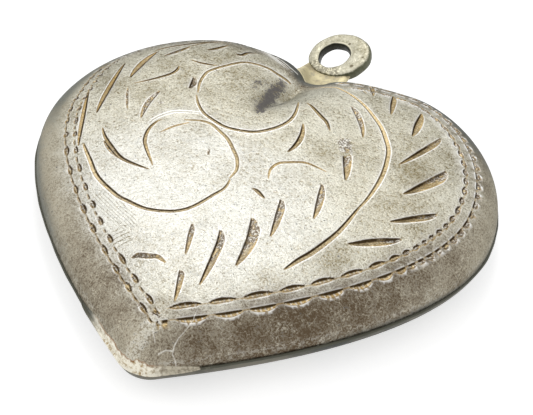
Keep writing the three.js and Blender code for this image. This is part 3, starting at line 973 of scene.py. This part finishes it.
# Painted highlight on the raised burr beside each cut.
colour = layer(tree, colour, attribute(tree, "burr"), 0.9, BURR_BRIGHT)
tick_turn = number(tree, "MULTIPLY", attribute(tree, "along"), 2 * math.pi / TICK_PITCH)
tick_mask = ramp(tree, number(tree, "SINE", tick_turn), 0.2, 0.8)
tick_mask = number(tree, "MULTIPLY", tick_mask, attribute(tree, "ticks"))
tan_share = number(tree, "MULTIPLY", attribute(tree, "tan"), mixed(tree, 1.0, (speck, 1.5)), clamp=True)
tan_mix = mixed(tree, attribute(tree, "pale"), (grain, 2.0), (speck, 2.0))
tan_tone = blend(tree, ramp(tree, tan_mix, 0.4, 0.85), CUT_TAN, CUT_PALE)
colour = blend(tree, tan_share, colour, tan_tone)
torn_mix = mixed(tree, 0.5, (grain, 2.6), (speck, 1.6))
torn_gold = ramp(tree, mixed(tree, 0.45, (speck, -2.4), (blotch, 1.2)), 0.45, 0.85)
torn_tone = blend(tree, torn_gold, TORN_GREY, CUT_PALE)
torn_tone = blend(tree, ramp(tree, torn_mix, 0.5, 0.85), torn_tone, SCRATCH_BRIGHT)
torn_share = ramp(tree, mixed(tree, attribute(tree, "torn"), (speck, 2.2), (grain, 1.2)), 0.3, 0.75)
torn_share = number(tree, "MULTIPLY", torn_share, ramp(tree, attribute(tree, "torn"), 0.0, 0.15))
colour = layer(tree, colour, torn_share, 0.85, torn_tone)
colour = layer(tree, colour, tick_mask, 0.5, SCRATCH_BRIGHT)
# Painted shade on each cut's steep edge.
edge_dark = number(tree, "MULTIPLY", attribute(tree, "dark"), mixed(tree, 0.9, (speck, 1.2)), clamp=True)
colour = blend(tree, edge_dark, colour, CUT_DARK)
# Painted shadow lines and painted highlight glints by the cleft, and real bright scratches on the wall by
# the point. The glints are made less metallic so that they stay bright.
shadows = drawn(tree, CLEFT_SHADOWS, 0.07, 0.9, speck)
colour = blend(tree, shadows, colour, CUT_DARK)
glints = drawn(tree, CLEFT_GLINTS, 0.1, 1.4, speck)
bright_lines = number(tree, "MAXIMUM", glints, drawn(tree, WALL_SCRATCHES, 0.05, 0.5, speck))
colour = blend(tree, bright_lines, colour, SCRATCH_BRIGHT)
tree.links.new(number(tree, "MULTIPLY_ADD", glints, -0.8, METALLIC), shader.inputs["Metallic"])
gloss = mixed(tree, 0.38, (speck, 0.5), (grain, 0.5))
gloss = number(tree, "MULTIPLY_ADD", stained, 0.15, gloss)
gloss = number(tree, "MULTIPLY_ADD", on_wall, 0.08, gloss)
relief = mixed(tree, 0.0, (grain, 0.5), (speck, 1.0))
relief = number(tree, "MULTIPLY_ADD", number(tree, "MAXIMUM", lines, hatched), -0.15, relief)
surface(tree, shader, colour, gloss, relief, 0.6)
face_shell.data.materials.append(face_material)
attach(face_shell, "root")
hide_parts("front_shell")

# Back shell: the shallower plain half, pressed from the same sheet and painted dark as
# shade, for it faces down towards the floor. It is a little flattened in the middle, where the pendant lies
# on it.
BACK_RISE = 2.1
BACK_FLAT = 2.0
BACK_ROUNDNESS = 2.3


def back_height(points, inset, lost=0.0):
    """Depth of the back dome at an inset, cut off level where it would pass its flat."""
    share = (inset - lost) / (SHOULDER_INSET - lost)
    dome = SEAM_HALF + (BACK_RISE - SEAM_HALF - lost) * swell(share, BACK_ROUNDNESS)
    return np.minimum(dome, BACK_FLAT - lost)


outline = heart_outline(4)
count = len(outline)
outer = dome_rings(outline, back_height, BACK_ROUNDNESS, 0.0, walls=16, faces=18)[::-1]
inner = dome_rings(outline, back_height, BACK_ROUNDNESS, SHEET, walls=6, faces=8)
rings = np.vstack([outer, inner]) * (1, 1, -1)
poles = [[0, WIDEST_Y, -BACK_FLAT], [0, WIDEST_Y, SHEET - BACK_FLAT]]
points = np.vstack([rings.reshape(-1, 3), poles])
rows = ring_rows(len(rings), count)
faces = strips(rows[::-1]) + fan(len(points) - 2, rows[0])
faces += [face[::-1] for face in fan(len(points) - 1, rows[-1])]
plain_back = smooth_mesh("plain_back", in_frame(points), faces)

# Painted shade: the back is dark and only a little metallic, so that it stays dark under the pendant.
BACK_DARK = (0.05, 0.055, 0.045, 1)
BACK_GREY = (0.22, 0.205, 0.16, 1)
back_material, tree, shader = metal("back_silver_tarnished", 0.45)
cloud = noise(tree, 3.0, 5.0)
speck = noise(tree, 0.5, 4.0, 0.75)
colour = blend(tree, ramp(tree, cloud, 0.4, 0.7), BACK_DARK, BACK_GREY)
colour = layer(tree, colour, ramp(tree, speck, 0.5, 0.7), 0.5, BACK_GREY)
gloss = number(tree, "MULTIPLY_ADD", cloud, 0.2, 0.38)
surface(tree, shader, colour, gloss, speck, 0.3, 0.08)
plain_back.data.materials.append(back_material)
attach(plain_back, "root")
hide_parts("back_shell")

# Seam solder: silver solder run between the two rims. It stands out as a thin uneven matt
# bead, because it was filed only lightly.
BEAD_OUT = 0.12
SOLDER_IN = 0.3
outline = heart_outline(8)
normals = inward(outline)
count = len(outline)
way_length = lengths_along(outline)
way = np.linspace(0, 2 * np.pi, count, endpoint=False)
# Three sines of the way round make the bead uneven.
lumps = 1 + 0.12 * np.sin(17 * way) + 0.1 * np.sin(41 * way + 1) + 0.06 * np.sin(97 * way + 2)
section = [(SHEET + SOLDER_IN, -SEAM_HALF), (SHEET + SOLDER_IN, SEAM_HALF)]
angles = np.linspace(90, -90, 9)
section += [(-BEAD_OUT * math.cos(math.radians(a)), SEAM_HALF * math.sin(math.radians(a))) for a in angles]
rings = []
for out, up in section:
    lump = np.where(out < 0, lumps, 1.0)
    flat_ring = outline + (out * lump)[:, None] * normals
    rings.append(np.column_stack([flat_ring, np.full(count, up)]))
points = np.vstack(rings)
rows = ring_rows(len(section), count)
seam_bead = smooth_mesh("seam_bead", in_frame(points), strips(rows, closed=True))

SOLDER_DULL = (0.46, 0.42, 0.31, 1)
SEAM_DARK = (0.085, 0.085, 0.062, 1)
SEAM_PALE = (0.80, 0.76, 0.63, 1)

# The bead is pale near the point, more so on its left, and dark elsewhere.
from_tip = np.abs(way_length - way_length[outline[:, 1].argmin()])
pale = climb(from_tip, 8.4, 1.4) * np.where(outline[:, 0] > 0, 0.5, 1)
carry(seam_bead, pale=np.tile(pale, len(section)))
seam_material, tree, shader = metal("seam_solder_dull", 0.6)
patch = noise(tree, 1.2, 5.0, 0.7)
grain = noise(tree, 0.15, 3.0, 0.7)
share = ramp(tree, mixed(tree, attribute(tree, "pale"), (patch, 0.8), (grain, 0.6)), 0.2, 0.9)
colour = blend(tree, share, SEAM_DARK, SOLDER_DULL)
near_tip = ramp(tree, mixed(tree, attribute(tree, "pale"), (grain, 0.3)), 0.7, 1.0)
colour = blend(tree, near_tip, colour, SEAM_PALE)
surface(tree, shader, colour, mixed(tree, 0.5, (patch, 0.4)), grain, 0.4)
seam_bead.data.materials.append(seam_material)
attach(seam_bead, "root")
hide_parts("seam_solder")

# At the point the solder flooded up the wall when the halves were joined, and it set there
# as a pale skin with a ragged brown upper edge. Its spans are lengths along the rim from the
# point, under 0 on the left, and its heights say how far up it climbs there.
FLOOD_SPANS = (-6.5, -5.2, -4.4, -3.4, -2.9, -2.1, -1.8, -0.9, -0.3, 0.0, 0.4, 0.8, 1.3, 1.8, 2.6, 4.0)
FLOOD_HEIGHTS = (0.05, 0.4, 0.6, 0.43, 0.54, 0.7, 0.52, 0.7, 0.66, 0.92, 0.89, 0.67, 0.6, 0.45, 0.3, 0.05)
FLOOD_SKIN = 0.07
FLOOD_LAP = 0.15
FLOOD_ROWS = 14
outline = heart_outline(16)
tip_at = outline[:, 1].argmin()
way = lengths_along(outline)
reach = way[tip_at] - way
stretch = np.flatnonzero((reach > FLOOD_SPANS[0]) & (reach < FLOOD_SPANS[-1]))
spans = reach[stretch]
ragged_top = np.interp(spans, FLOOD_SPANS, FLOOD_HEIGHTS)
ragged_top *= 1 + 0.05 * np.sin(13 * spans + 1)
flood_rings = []
for depth_in, turn in ((-FLOOD_SKIN, 1), (FLOOD_LAP, -1)):
    for share in np.linspace(0, 1, FLOOD_ROWS)[::turn]:
        low = SEAM_HALF * (1 - 1.9 * climb(ragged_top, 0, 0.4))
        z = low + share * (SEAM_HALF + ragged_top - low)
        bead_out = 1.15 * BEAD_OUT * np.sqrt(np.clip(1 - (z / SEAM_HALF) ** 2, 0, 1))
        up = np.maximum(z, SEAM_HALF)
        wall_in = swell_share(up / (FRONT_RISE - SEAM_HALF), FRONT_ROUNDNESS) * SHOULDER_INSET
        wall_in = np.where(z < SEAM_HALF, np.minimum(wall_in, 0) - bead_out, wall_in)
        thin = depth_in * (1 - share**8) if depth_in < 0 else depth_in
        flat_row = outline[stretch] + (wall_in + thin)[:, None] * inward(outline)[stretch]
        flood_rings.append(np.column_stack([flat_row, z]))
flood_edge = np.repeat(np.linspace(0, 1, FLOOD_ROWS), len(stretch))
rows = ring_rows(len(flood_rings), len(stretch))
faces = [[row[0] for row in rows[::-1]], [row[-1] for row in rows]]
for here, there in zip(rows, rows[1:] + rows[:1]):
    faces += np.column_stack([here[:-1], there[:-1], there[1:], here[1:]]).tolist()
tip_flood = smooth_mesh("tip_flood", in_frame(np.vstack(flood_rings)), faces)
fade = climb(spans, 0.5, 2.1)
dull = np.clip((-2.2 - spans) / 3.2, 0, 1.2)
carry(tip_flood, edge=flood_edge, fade=np.tile(fade, FLOOD_ROWS), dull=np.tile(dull, FLOOD_ROWS))

FLOOD_PALE = (0.86, 0.82, 0.69, 1)
FLOOD_BROWN = (0.42, 0.31, 0.16, 1)
FLOOD_EDGE = (0.26, 0.13, 0.05, 1)
SOLDER_GREY = (0.40, 0.38, 0.31, 1)
flood_material, tree, shader = metal("tip_solder_pale", 0.7)
grain = noise(tree, 0.12, 3.0, 0.7)
patch = noise(tree, 0.8, 4.0, 0.7)
mottle = ramp(tree, mixed(tree, 0.5, (grain, 2.4), (patch, 0.9)), 0.45, 1.0)
colour = blend(tree, mottle, FLOOD_PALE, FLOOD_BROWN)
brown = ramp(tree, mixed(tree, attribute(tree, "edge"), (grain, 0.25)), 0.78, 0.92)
colour = layer(tree, colour, brown, 0.8, FLOOD_EDGE)
dull_share = ramp(tree, mixed(tree, attribute(tree, "dull"), (patch, 0.6), (grain, 0.8)), 0.2, 1.1)
colour = blend(tree, dull_share, colour, SOLDER_GREY)
end_share = ramp(tree, mixed(tree, attribute(tree, "dull"), (patch, 0.4)), 0.75, 1.1)
colour = blend(tree, end_share, colour, SEAM_DARK)
fade_share = ramp(tree, mixed(tree, attribute(tree, "fade"), (patch, 0.8), (grain, 0.8)), 0.1, 0.9)
wall_tone = blend(tree, ramp(tree, grain, 0.4, 0.8), WALL_PALE, WALL_TARNISH)
colour = blend(tree, fade_share, colour, wall_tone)
surface(tree, shader, colour, mixed(tree, 0.42, (grain, 0.5)), grain, 0.6)
tip_flood.data.materials.append(flood_material)
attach(tip_flood, "root")
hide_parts("seam_solder")

# Hanging ring: a closed ring of flattened wire, worn round on its edges, that leans a
# little back and to the left in the cleft. It is soldered in and doesn't turn.
RING_THICKNESS = 0.9
RING_CENTRE = (-0.5, 19.0, 0.4)
RING_LEAN = 16
RING_TWIST = -14
RING_STEPS = 144
SECTION_STEPS = 28
RING_SQUARENESS = 3.6
RIM_MIDDLE = (0.2, 0.16)
RIM_RADII = (2.43, 2.24)
HOLE_MIDDLE = (-0.2, 0.0)
HOLE_RADII = (1.15, 1.21)
WET_MIDDLE = 253
WET_HALF = 46
WET_FADE = 12
WET_HEIGHT = 0.05
LIP_PLACE = -0.62
LIP_HALF = 0.06


def ring_wet():
    """How far each section is wetted by rough solder: fully in the middle of a stretch."""
    degrees = np.linspace(0, 360, RING_STEPS, endpoint=False)
    return climb(WET_HALF - np.abs(degrees - WET_MIDDLE), 0, WET_FADE)[:, None]


def ring_points():
    """A flattened wire bent round by hand, worn thin on one side: each section is a
    superellipse that spans from an oval hole to an oval rim, set off each other's middle."""
    round_way = np.linspace(0, 2 * np.pi, RING_STEPS, endpoint=False)[:, None]
    about = np.linspace(0, 2 * np.pi, SECTION_STEPS, endpoint=False)[None]
    power = 2 / RING_SQUARENESS
    out = np.sign(np.cos(about)) * np.abs(np.cos(about)) ** power
    up = np.sign(np.sin(about)) * np.abs(np.sin(about)) ** power
    share = (1 + out) / 2
    worn_hole = 1 + 0.025 * np.sin(3 * round_way + 1) + 0.012 * np.sin(7 * round_way)
    worn_rim = 1 + 0.008 * np.sin(4 * round_way) + 0.005 * np.sin(9 * round_way + 2)
    axes = []
    for k, swing in enumerate((np.cos(round_way), np.sin(round_way))):
        hole = HOLE_MIDDLE[k] + HOLE_RADII[k] * worn_hole * swing
        rim = RIM_MIDDLE[k] + RIM_RADII[k] * worn_rim * swing
        axes.append(hole * (1 - share) + rim * share)
    height = RING_THICKNESS / 2 * up * (1 + 0.03 * np.sin(2 * round_way + 0.6))
    crumbs = np.sin(37 * round_way) * np.sin(3 * about + 9 * round_way)
    height = height + WET_HEIGHT * ring_wet() * np.maximum(crumbs, -0.3) * (share > 0.15)
    flat_ring = np.stack([*axes, height], axis=2)
    lean = Matrix.Rotation(math.radians(RING_LEAN), 3, "X")
    twist = Matrix.Rotation(math.radians(RING_TWIST), 3, "Y")
    return flat_ring.reshape(-1, 3) @ np.array(lean @ twist).T + RING_CENTRE


points = ring_points()
rows = ring_rows(RING_STEPS, SECTION_STEPS)
wire_ring = smooth_mesh("wire_ring", in_frame(points), strips(rows, closed=True))

section_turn = np.linspace(0, 2 * np.pi, SECTION_STEPS, endpoint=False)
section_out = np.cos(section_turn)
section_up = np.sin(section_turn)
hole_lip = (np.abs(section_out - LIP_PLACE) < LIP_HALF) * (section_up > 0)
carry(
    wire_ring,
    hole=np.tile(np.clip(-section_out, 0, 1), RING_STEPS),
    rim=np.tile(np.clip(section_out, 0, 1), RING_STEPS),
    lip=np.tile(hole_lip, RING_STEPS),
    wet=(ring_wet() * (section_up > -0.3)).ravel(),
)

RING_SILVER = (0.66, 0.63, 0.50, 1)
RING_DULL = (0.34, 0.31, 0.21, 1)
RING_DARK = (0.012, 0.012, 0.006, 1)
RING_GREEN = (0.07, 0.08, 0.03, 1)
RING_PIT = (0.13, 0.105, 0.06, 1)
RING_LIT = (0.93, 0.88, 0.68, 1)
RING_PITS = ((0.99, 17.88, 0.2), (1.49, 18.82, 0.13), (0.0, 20.05, 0.15))
ring_material, tree, shader = metal("ring_silver_worn", edge_tint=EDGE_TINT)
patch = noise(tree, 1.0, 5.0, 0.7)
speck = noise(tree, 0.2, 3.0, 0.7)
grain = noise(tree, 0.09, 2.0, 0.7)
share = mixed(tree, 0.35, (patch, 1.4), (speck, 2.0), (grain, 1.6))
colour = blend(tree, number(tree, "MAXIMUM", share, 0.0, clamp=True), RING_SILVER, RING_DULL)
wet_tone = ramp(tree, mixed(tree, 0.4, (grain, 2.4), (speck, 1.2)), 0.35, 0.7)
wet_share = ramp(tree, mixed(tree, attribute(tree, "wet"), (speck, 0.8)), 0.3, 0.8)
wet_colour = blend(tree, wet_tone, RING_PIT, RING_LIT)
colour = layer(tree, colour, wet_share, 0.55, wet_colour)
for x, y, radius in RING_PITS:
    reach = number(tree, "SQRT", squares(tree, *place_on(tree, (x, y), 0)))
    pit = number(tree, "SUBTRACT", 1.0, ramp(tree, reach, 0.4 * radius * MM, radius * MM))
    colour = layer(tree, colour, pit, 0.8, RING_PIT)
outer_share = ramp(tree, mixed(tree, attribute(tree, "rim"), (speck, 0.5)), 0.6, 0.85)
colour = layer(tree, colour, outer_share, 0.8, RING_GREEN)
# Painted shade: the inner wall of the hole is painted near black, and made less metallic below so that it
# stays dark.
hole_share = ramp(tree, mixed(tree, attribute(tree, "hole"), (speck, 0.4)), 0.55, 0.8)
colour = layer(tree, colour, hole_share, 0.95, RING_DARK)
# Painted highlight: a bright line along the upper edge of the hole.
lip_share = number(tree, "MULTIPLY", attribute(tree, "lip"), mixed(tree, 0.8, (speck, 1.5)), clamp=True)
colour = blend(tree, lip_share, colour, RING_LIT)
dirty = number(tree, "MAXIMUM", hole_share, outer_share)
tree.links.new(number(tree, "MULTIPLY_ADD", dirty, -0.65, METALLIC), shader.inputs["Metallic"])
relief = mixed(tree, 0.0, (speck, 1.0), (grain, 0.4))
surface(tree, shader, colour, mixed(tree, 0.4, (speck, 0.5)), relief, 0.6)
wire_ring.data.materials.append(ring_material)
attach(wire_ring, "root")
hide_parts("hanging_ring")

# Ring solder: the web of solder that fills the cleft under the ring. It wets both lobes
# and the ring's lower edge, so it is thick along both and hollow between them.
WEB_REACH = (2.4, 1.6)
WEB_LAP = 0.14
WEB_TOP = (1.35, 0.6, 0.6)
WEB_BOTTOM = -0.4
WEB_SINK = 0.12
WEB_HOLLOWS = (0.2, 0.12)
RING_GRIP = (0.25, 0.3)
WEB_ANGLES = (-162, -48)
WEB_STEPS = 40
WEB_ROWS = 16


def web_points():
    """Top and bottom of the web: rows from the lobes to the ring, whose top sinks evenly
    towards the ring and hollows by a sine between, and which thins at both sides."""
    lobes = heart_outline(20)
    lobes = lobes - WEB_SINK * inward(lobes)
    aside = lobes[:, 0] - RING_CENTRE[0]
    close = (aside > -WEB_REACH[0]) & (aside < WEB_REACH[1])
    near = lobes[close & (lobes[:, 1] > CLEFT_HEIGHT - 0.5)]
    near = near[np.argsort(near[:, 0])]
    across = np.linspace(near[0, 0], near[-1, 0], WEB_STEPS)
    low = np.column_stack([across, np.interp(across, near[:, 0], near[:, 1])])
    angle = np.radians(np.linspace(*WEB_ANGLES, WEB_STEPS))
    lean = math.radians(RING_LEAN)
    twist = math.radians(RING_TWIST)
    high_x = (RIM_MIDDLE[0] + (RIM_RADII[0] - WEB_LAP) * np.cos(angle)) * math.cos(twist)
    high_y = (RIM_MIDDLE[1] + (RIM_RADII[1] - WEB_LAP) * np.sin(angle)) * math.cos(lean)
    high = np.column_stack([RING_CENTRE[0] + high_x, RING_CENTRE[1] + high_y])
    t = np.linspace(0, 1, WEB_ROWS)[:, None]
    flat_web = low * (1 - t[..., None]) + high * t[..., None]
    side = 1 - np.abs(np.linspace(-1, 1, WEB_STEPS)) ** 6
    hollow = np.sin(np.pi * t)
    ring_z = RING_CENTRE[2] + math.tan(lean) * high_y - math.tan(twist) * high_x
    wet = np.interp(np.linspace(0, 1, WEB_STEPS), (0, 0.35, 1), WEB_TOP)
    rise_top = wet * (1 - t) + (ring_z + RING_GRIP[0]) * t - WEB_HOLLOWS[0] * hollow
    rise_bottom = WEB_BOTTOM * (1 - t) + (ring_z - RING_GRIP[1]) * t + WEB_HOLLOWS[1] * hollow
    middle = (rise_top + rise_bottom) / 2
    half = (rise_top - rise_bottom) / 2 * side + 0.02
    return np.dstack([flat_web, middle + half]), np.dstack([flat_web, middle - half])


top, bottom = web_points()
points = np.hstack([top, bottom[:, ::-1]]).reshape(-1, 3)
rows = ring_rows(WEB_ROWS, 2 * WEB_STEPS)
faces = strips(rows[::-1])
for row, turned in ((rows[0], True), (rows[-1], False)):
    half = row[:WEB_STEPS]
    other = row[WEB_STEPS:][::-1]
    cap = np.column_stack([half[:-1], half[1:], other[1:], other[:-1]])
    faces += (cap if turned else cap[:, ::-1]).tolist()
solder_web = smooth_mesh("solder_web", in_frame(points), faces)

WEB_PALE = (0.72, 0.645, 0.41, 1)
WEB_BROWN = (0.36, 0.29, 0.17, 1)
web_material, tree, shader = metal("ring_solder_pale", 0.75)
patch = noise(tree, 1.2, 5.0, 0.7)
grain = noise(tree, 0.3, 3.0, 0.7)
colour = blend(tree, ramp(tree, patch, 0.42, 0.68), WEB_PALE, WEB_BROWN)
colour = layer(tree, colour, ramp(tree, grain, 0.5, 0.7), 0.5, SOLDER_GREY)
surface(tree, shader, colour, number(tree, "MULTIPLY_ADD", patch, 0.25, 0.36), grain, 0.4)
solder_web.data.materials.append(web_material)
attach(solder_web, "root")
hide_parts("ring_solder")

# Floor: a plain pale sheet under the pendant, white to the camera but for the shadow.
HALF_FLOOR = 1.0
FLOOR_GLOW = 0.6


def plainly_seen(tree):
    """1 on rays from the camera, a mirror or a glass, and 0 on all others."""
    path = node(tree, "ShaderNodeLightPath").outputs
    seen = number(tree, "MAXIMUM", path["Is Camera Ray"], path["Is Glossy Ray"])
    return number(tree, "MAXIMUM", seen, path["Is Transmission Ray"])


floor_mesh = bpy.data.meshes.new("floor")
corners = [(x * HALF_FLOOR, y * HALF_FLOOR, 0) for x, y in ((-1, -1), (1, -1), (1, 1), (-1, 1))]
floor_mesh.from_pydata(corners, [], [(0, 1, 2, 3)])
floor = bpy.data.objects.new("floor", floor_mesh)
bpy.context.scene.collection.objects.link(floor)
floor_material = bpy.data.materials.new("floor_white")
floor_material.use_nodes = True
floor_shader = floor_material.node_tree.nodes["Principled BSDF"]
floor_shader.inputs["Base Color"].default_value = (0.9, 0.9, 0.9, 1)
floor_shader.inputs["Roughness"].default_value = 0.9
floor_shader.inputs["Specular IOR Level"].default_value = 0.0
tree = floor_material.node_tree
glow = number(tree, "MULTIPLY", plainly_seen(tree), FLOOR_GLOW)
tree.links.new(glow, floor_shader.inputs["Emission Strength"])
floor_shader.inputs["Emission Color"].default_value = (1, 1, 1, 1)
floor.data.materials.append(floor_material)

# Light: one broad soft lamp above and behind the pendant, a weak one in front, and a
# white surround that camera and metal see at full strength.
SURROUND_LIGHT = 0.55
world = bpy.data.worlds.new("studio")
world.use_nodes = True
bpy.context.scene.world = world
tree = world.node_tree
strength = number(tree, "MULTIPLY_ADD", plainly_seen(tree), 1 - SURROUND_LIGHT, SURROUND_LIGHT)
tree.links.new(strength, tree.nodes["Background"].inputs["Strength"])
tree.nodes["Background"].inputs["Color"].default_value = (1, 1, 1, 1)


def lamp(name, direction, distance, size, power):
    """A square soft lamp in a direction from the pendant and at a distance, facing it."""
    data = bpy.data.lights.new(name, "AREA")
    data.size = size
    data.energy = power
    made = bpy.data.objects.new(name, data)
    way = Vector(direction).normalized()
    made.location = way * distance
    made.rotation_euler = way.to_track_quat("Z", "Y").to_euler()
    bpy.context.scene.collection.objects.link(made)


lamp("key_lamp", (-0.27, 0.55, 0.79), distance=0.4, size=0.13, power=0.23)
lamp("fill_lamp", (-0.8, -0.3, 0.5), distance=0.6, size=0.3, power=0.3)

# Camera: the photograph's own view, from in front of the point and above.
PHOTO_WIDTH = 533
PHOTO_HEIGHT = 415
VIEW_YAW = -18.2571
VIEW_TILT = 39.8719
VIEW_ROLL = -6.8713
VIEW_SCALE = 238.6893
VIEW_DEPTH = 0.1582
MIDDLE_X = 246.9467
MIDDLE_Y = 206.3839
SENSOR = 36.0
yaw = Matrix.Rotation(math.radians(VIEW_YAW), 3, "Z")
tilt = math.radians(VIEW_TILT)
looks = Matrix(((1, 0, 0), (0, math.sin(tilt), math.cos(tilt)), (0, -math.cos(tilt), math.sin(tilt))))
roll = Matrix.Rotation(math.radians(VIEW_ROLL), 3, "Z")
turn = roll @ looks @ yaw
camera_data = bpy.data.cameras.new("camera")
camera = bpy.data.objects.new("camera", camera_data)
bpy.context.scene.collection.objects.link(camera)
back = turn.row[2]
seat = Vector(in_frame([0.0, 0.0, 0.0])) + Vector(back) * (HALF_WIDTH * MM / VIEW_DEPTH)
camera.matrix_world = Matrix.Translation(seat) @ turn.transposed().to_4x4()
camera_data.sensor_width = SENSOR
camera_data.lens = VIEW_SCALE / VIEW_DEPTH * SENSOR / PHOTO_WIDTH
camera_data.shift_x = (PHOTO_WIDTH / 2 - MIDDLE_X) / PHOTO_WIDTH
camera_data.shift_y = (MIDDLE_Y - PHOTO_HEIGHT / 2) / PHOTO_WIDTH
camera_data.clip_start = 0.005
camera_data.clip_end = 10
bpy.context.scene.camera = camera
bpy.context.scene.view_settings.view_transform = "Standard"
